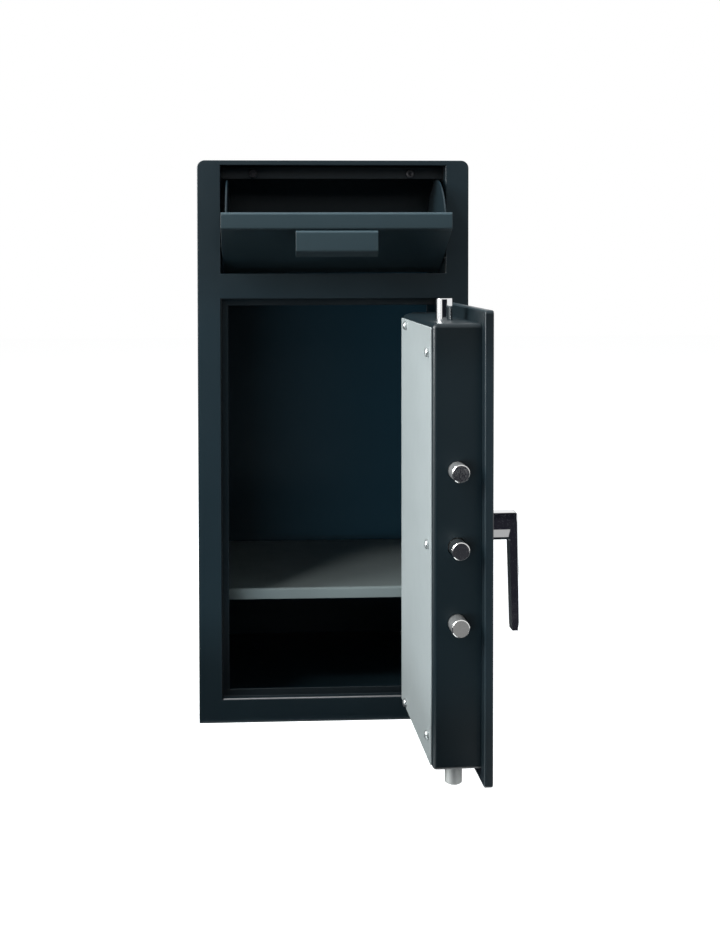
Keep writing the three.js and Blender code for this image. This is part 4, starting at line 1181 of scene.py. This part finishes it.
# Dark flags that only gloss sees: bright metal needs something dark to mirror.
lift = stageLook["flagLift"]
flagLooks = {
    "frontFlag": [(-2.6, -4.0, 0), (2.6, -4.0, 0), (2.6, -4.0, 1.4), (-2.6, -4.0, 1.4)],
    "floorFlag": flatCorners(-2.6, 0.8, -4.0, -0.62, lift),
    "leftFlag": flatCorners(-2.6, -0.08, -0.62, -0.36, lift),
    "nearFlag": flatCorners(-2.6, 0.32, -0.40, -0.18, lift),
    "doorFlag": flatCorners(0.03, 0.165, -0.62, -0.47, lift),
    "leverFlag": [(0.26, 0.26, lift), (0.9, 0.26, lift), (1.0, 0.9, 0.55), (0.3, 0.9, 0.55)],
}
# Cards that only gloss sees: for the lowest side bolt's end, and for the lever's keel.
reflectorLooks = {
    "boltCard": {"left": 0.20, "right": 0.38, "near": -1.24, "far": -1.0, "level": 0.3},
    "leverCard": {"left": 0.168, "right": 0.34, "near": -0.74, "far": -0.43, "level": 0.5},
}


def flagFinish(name, colour, strength):
    material = bpy.data.materials.new(name)
    material.use_nodes = True
    tree = material.node_tree
    tree.nodes.clear()
    output = tree.nodes.new("ShaderNodeOutputMaterial")
    glow = shaderNode(tree, "ShaderNodeEmission", Color=(*colour, 1), Strength=strength)
    tree.links.new(glow.outputs[0], output.inputs["Surface"])
    return material


def onlyInGloss(plane):
    plane.visible_camera = False
    plane.visible_diffuse = False
    plane.visible_transmission = False
    plane.visible_volume_scatter = False
    plane.visible_shadow = False


def makeFlags():
    dark = flagFinish("flagCloth", stageLook["flagColour"], 1)
    floorDark = flagFinish("floorCloth", stageLook["floorFlagColour"], 1)
    for name, corners in flagLooks.items():
        flag = stagePlane(name, corners)
        flag.data.materials.append(dark if name in ("frontFlag", "leverFlag") else floorDark)
        onlyInGloss(flag)
    for name, look in reflectorLooks.items():
        corners = flatCorners(look["left"], look["right"], look["near"], look["far"], stageLook["cardLift"])
        card = stagePlane(name, corners)
        card.data.materials.append(flagFinish(name, (1, 1, 1), look["level"]))
        onlyInGloss(card)


# Black cards that keep the low front lamp off the hopper and off the cabinet's foot.
shadeLooks = {
    "hopperShade": {"left": -1.0, "right": 0.35, "y": -0.9, "low": 0.42, "high": 0.95},
    "footShade": {"left": -0.80, "right": -0.05, "y": -0.9, "low": 0.0, "high": 0.125},
}


def makeShades():
    cloth = flagFinish("shadeCloth", stageLook["flagColour"], 1)
    for name, look in shadeLooks.items():
        left, right, y, low, high = (look[side] for side in ("left", "right", "y", "low", "high"))
        shade = stagePlane(name, [(left, y, low), (right, y, low), (right, y, high), (left, y, high)])
        shade.data.materials.append(cloth)
        onlyInGloss(shade)
        shade.visible_glossy = False
        shade.visible_shadow = True


lampLooks = {
    "cornerLamp": {
        "place": (-1.3, -0.62, 0.76), "aim": (0.1, -0.44, 0.6), "size": (0.25, 0.5), "power": 26,
        "colour": (0.97, 1, 1), "gloss": True, "diffuse": False,
    },
    "keyLamp": {
        "place": (-0.88, -1.04, 1.80), "aim": (0, -0.15, 0.35), "size": (0.26, 0.26), "power": 9.5,
        "colour": (1, 1, 1), "gloss": True, "diffuse": True,
    },
    "frontLamp": {
        "place": (-0.9, -2.3, 0.14), "aim": (0, -0.1, 0.25), "size": (1.3, 0.16), "power": 26,
        "colour": (0.86, 0.95, 1), "gloss": False, "diffuse": True,
    },
    "leftLamp": {
        "place": (-1.7, -0.8, 1.45), "aim": (0.1, -0.3, 0.4), "size": (1.0, 1.0), "power": 42,
        "colour": (0.95, 1, 1), "gloss": True, "diffuse": True,
    },
    "topLamp": {
        "place": (0.1, -0.42, 2.1), "aim": (0.05, -0.15, 0.5), "size": (1.0, 0.4), "power": 24,
        "colour": (0.88, 0.97, 1), "gloss": False, "diffuse": True,
    },
}


def makeLamps():
    for name, look in lampLooks.items():
        lamp = bpy.data.lights.new(name, "AREA")
        lamp.shape = "RECTANGLE"
        lamp.size, lamp.size_y = look["size"]
        lamp.energy = look["power"]
        lamp.color = look["colour"]
        holder = bpy.data.objects.new(name, lamp)
        holder.location = look["place"]
        holder.rotation_euler = (Vector(look["aim"]) - holder.location).to_track_quat("-Z", "Y").to_euler()
        holder.visible_glossy = look["gloss"]
        holder.visible_diffuse = look["diffuse"]
        scene.collection.objects.link(holder)


makeFlags()
makeShades()
makeFloor()
makeUnderside()
makeWorld()
makeLamps()
scene.view_settings.view_transform = "Standard"
print("stage made")
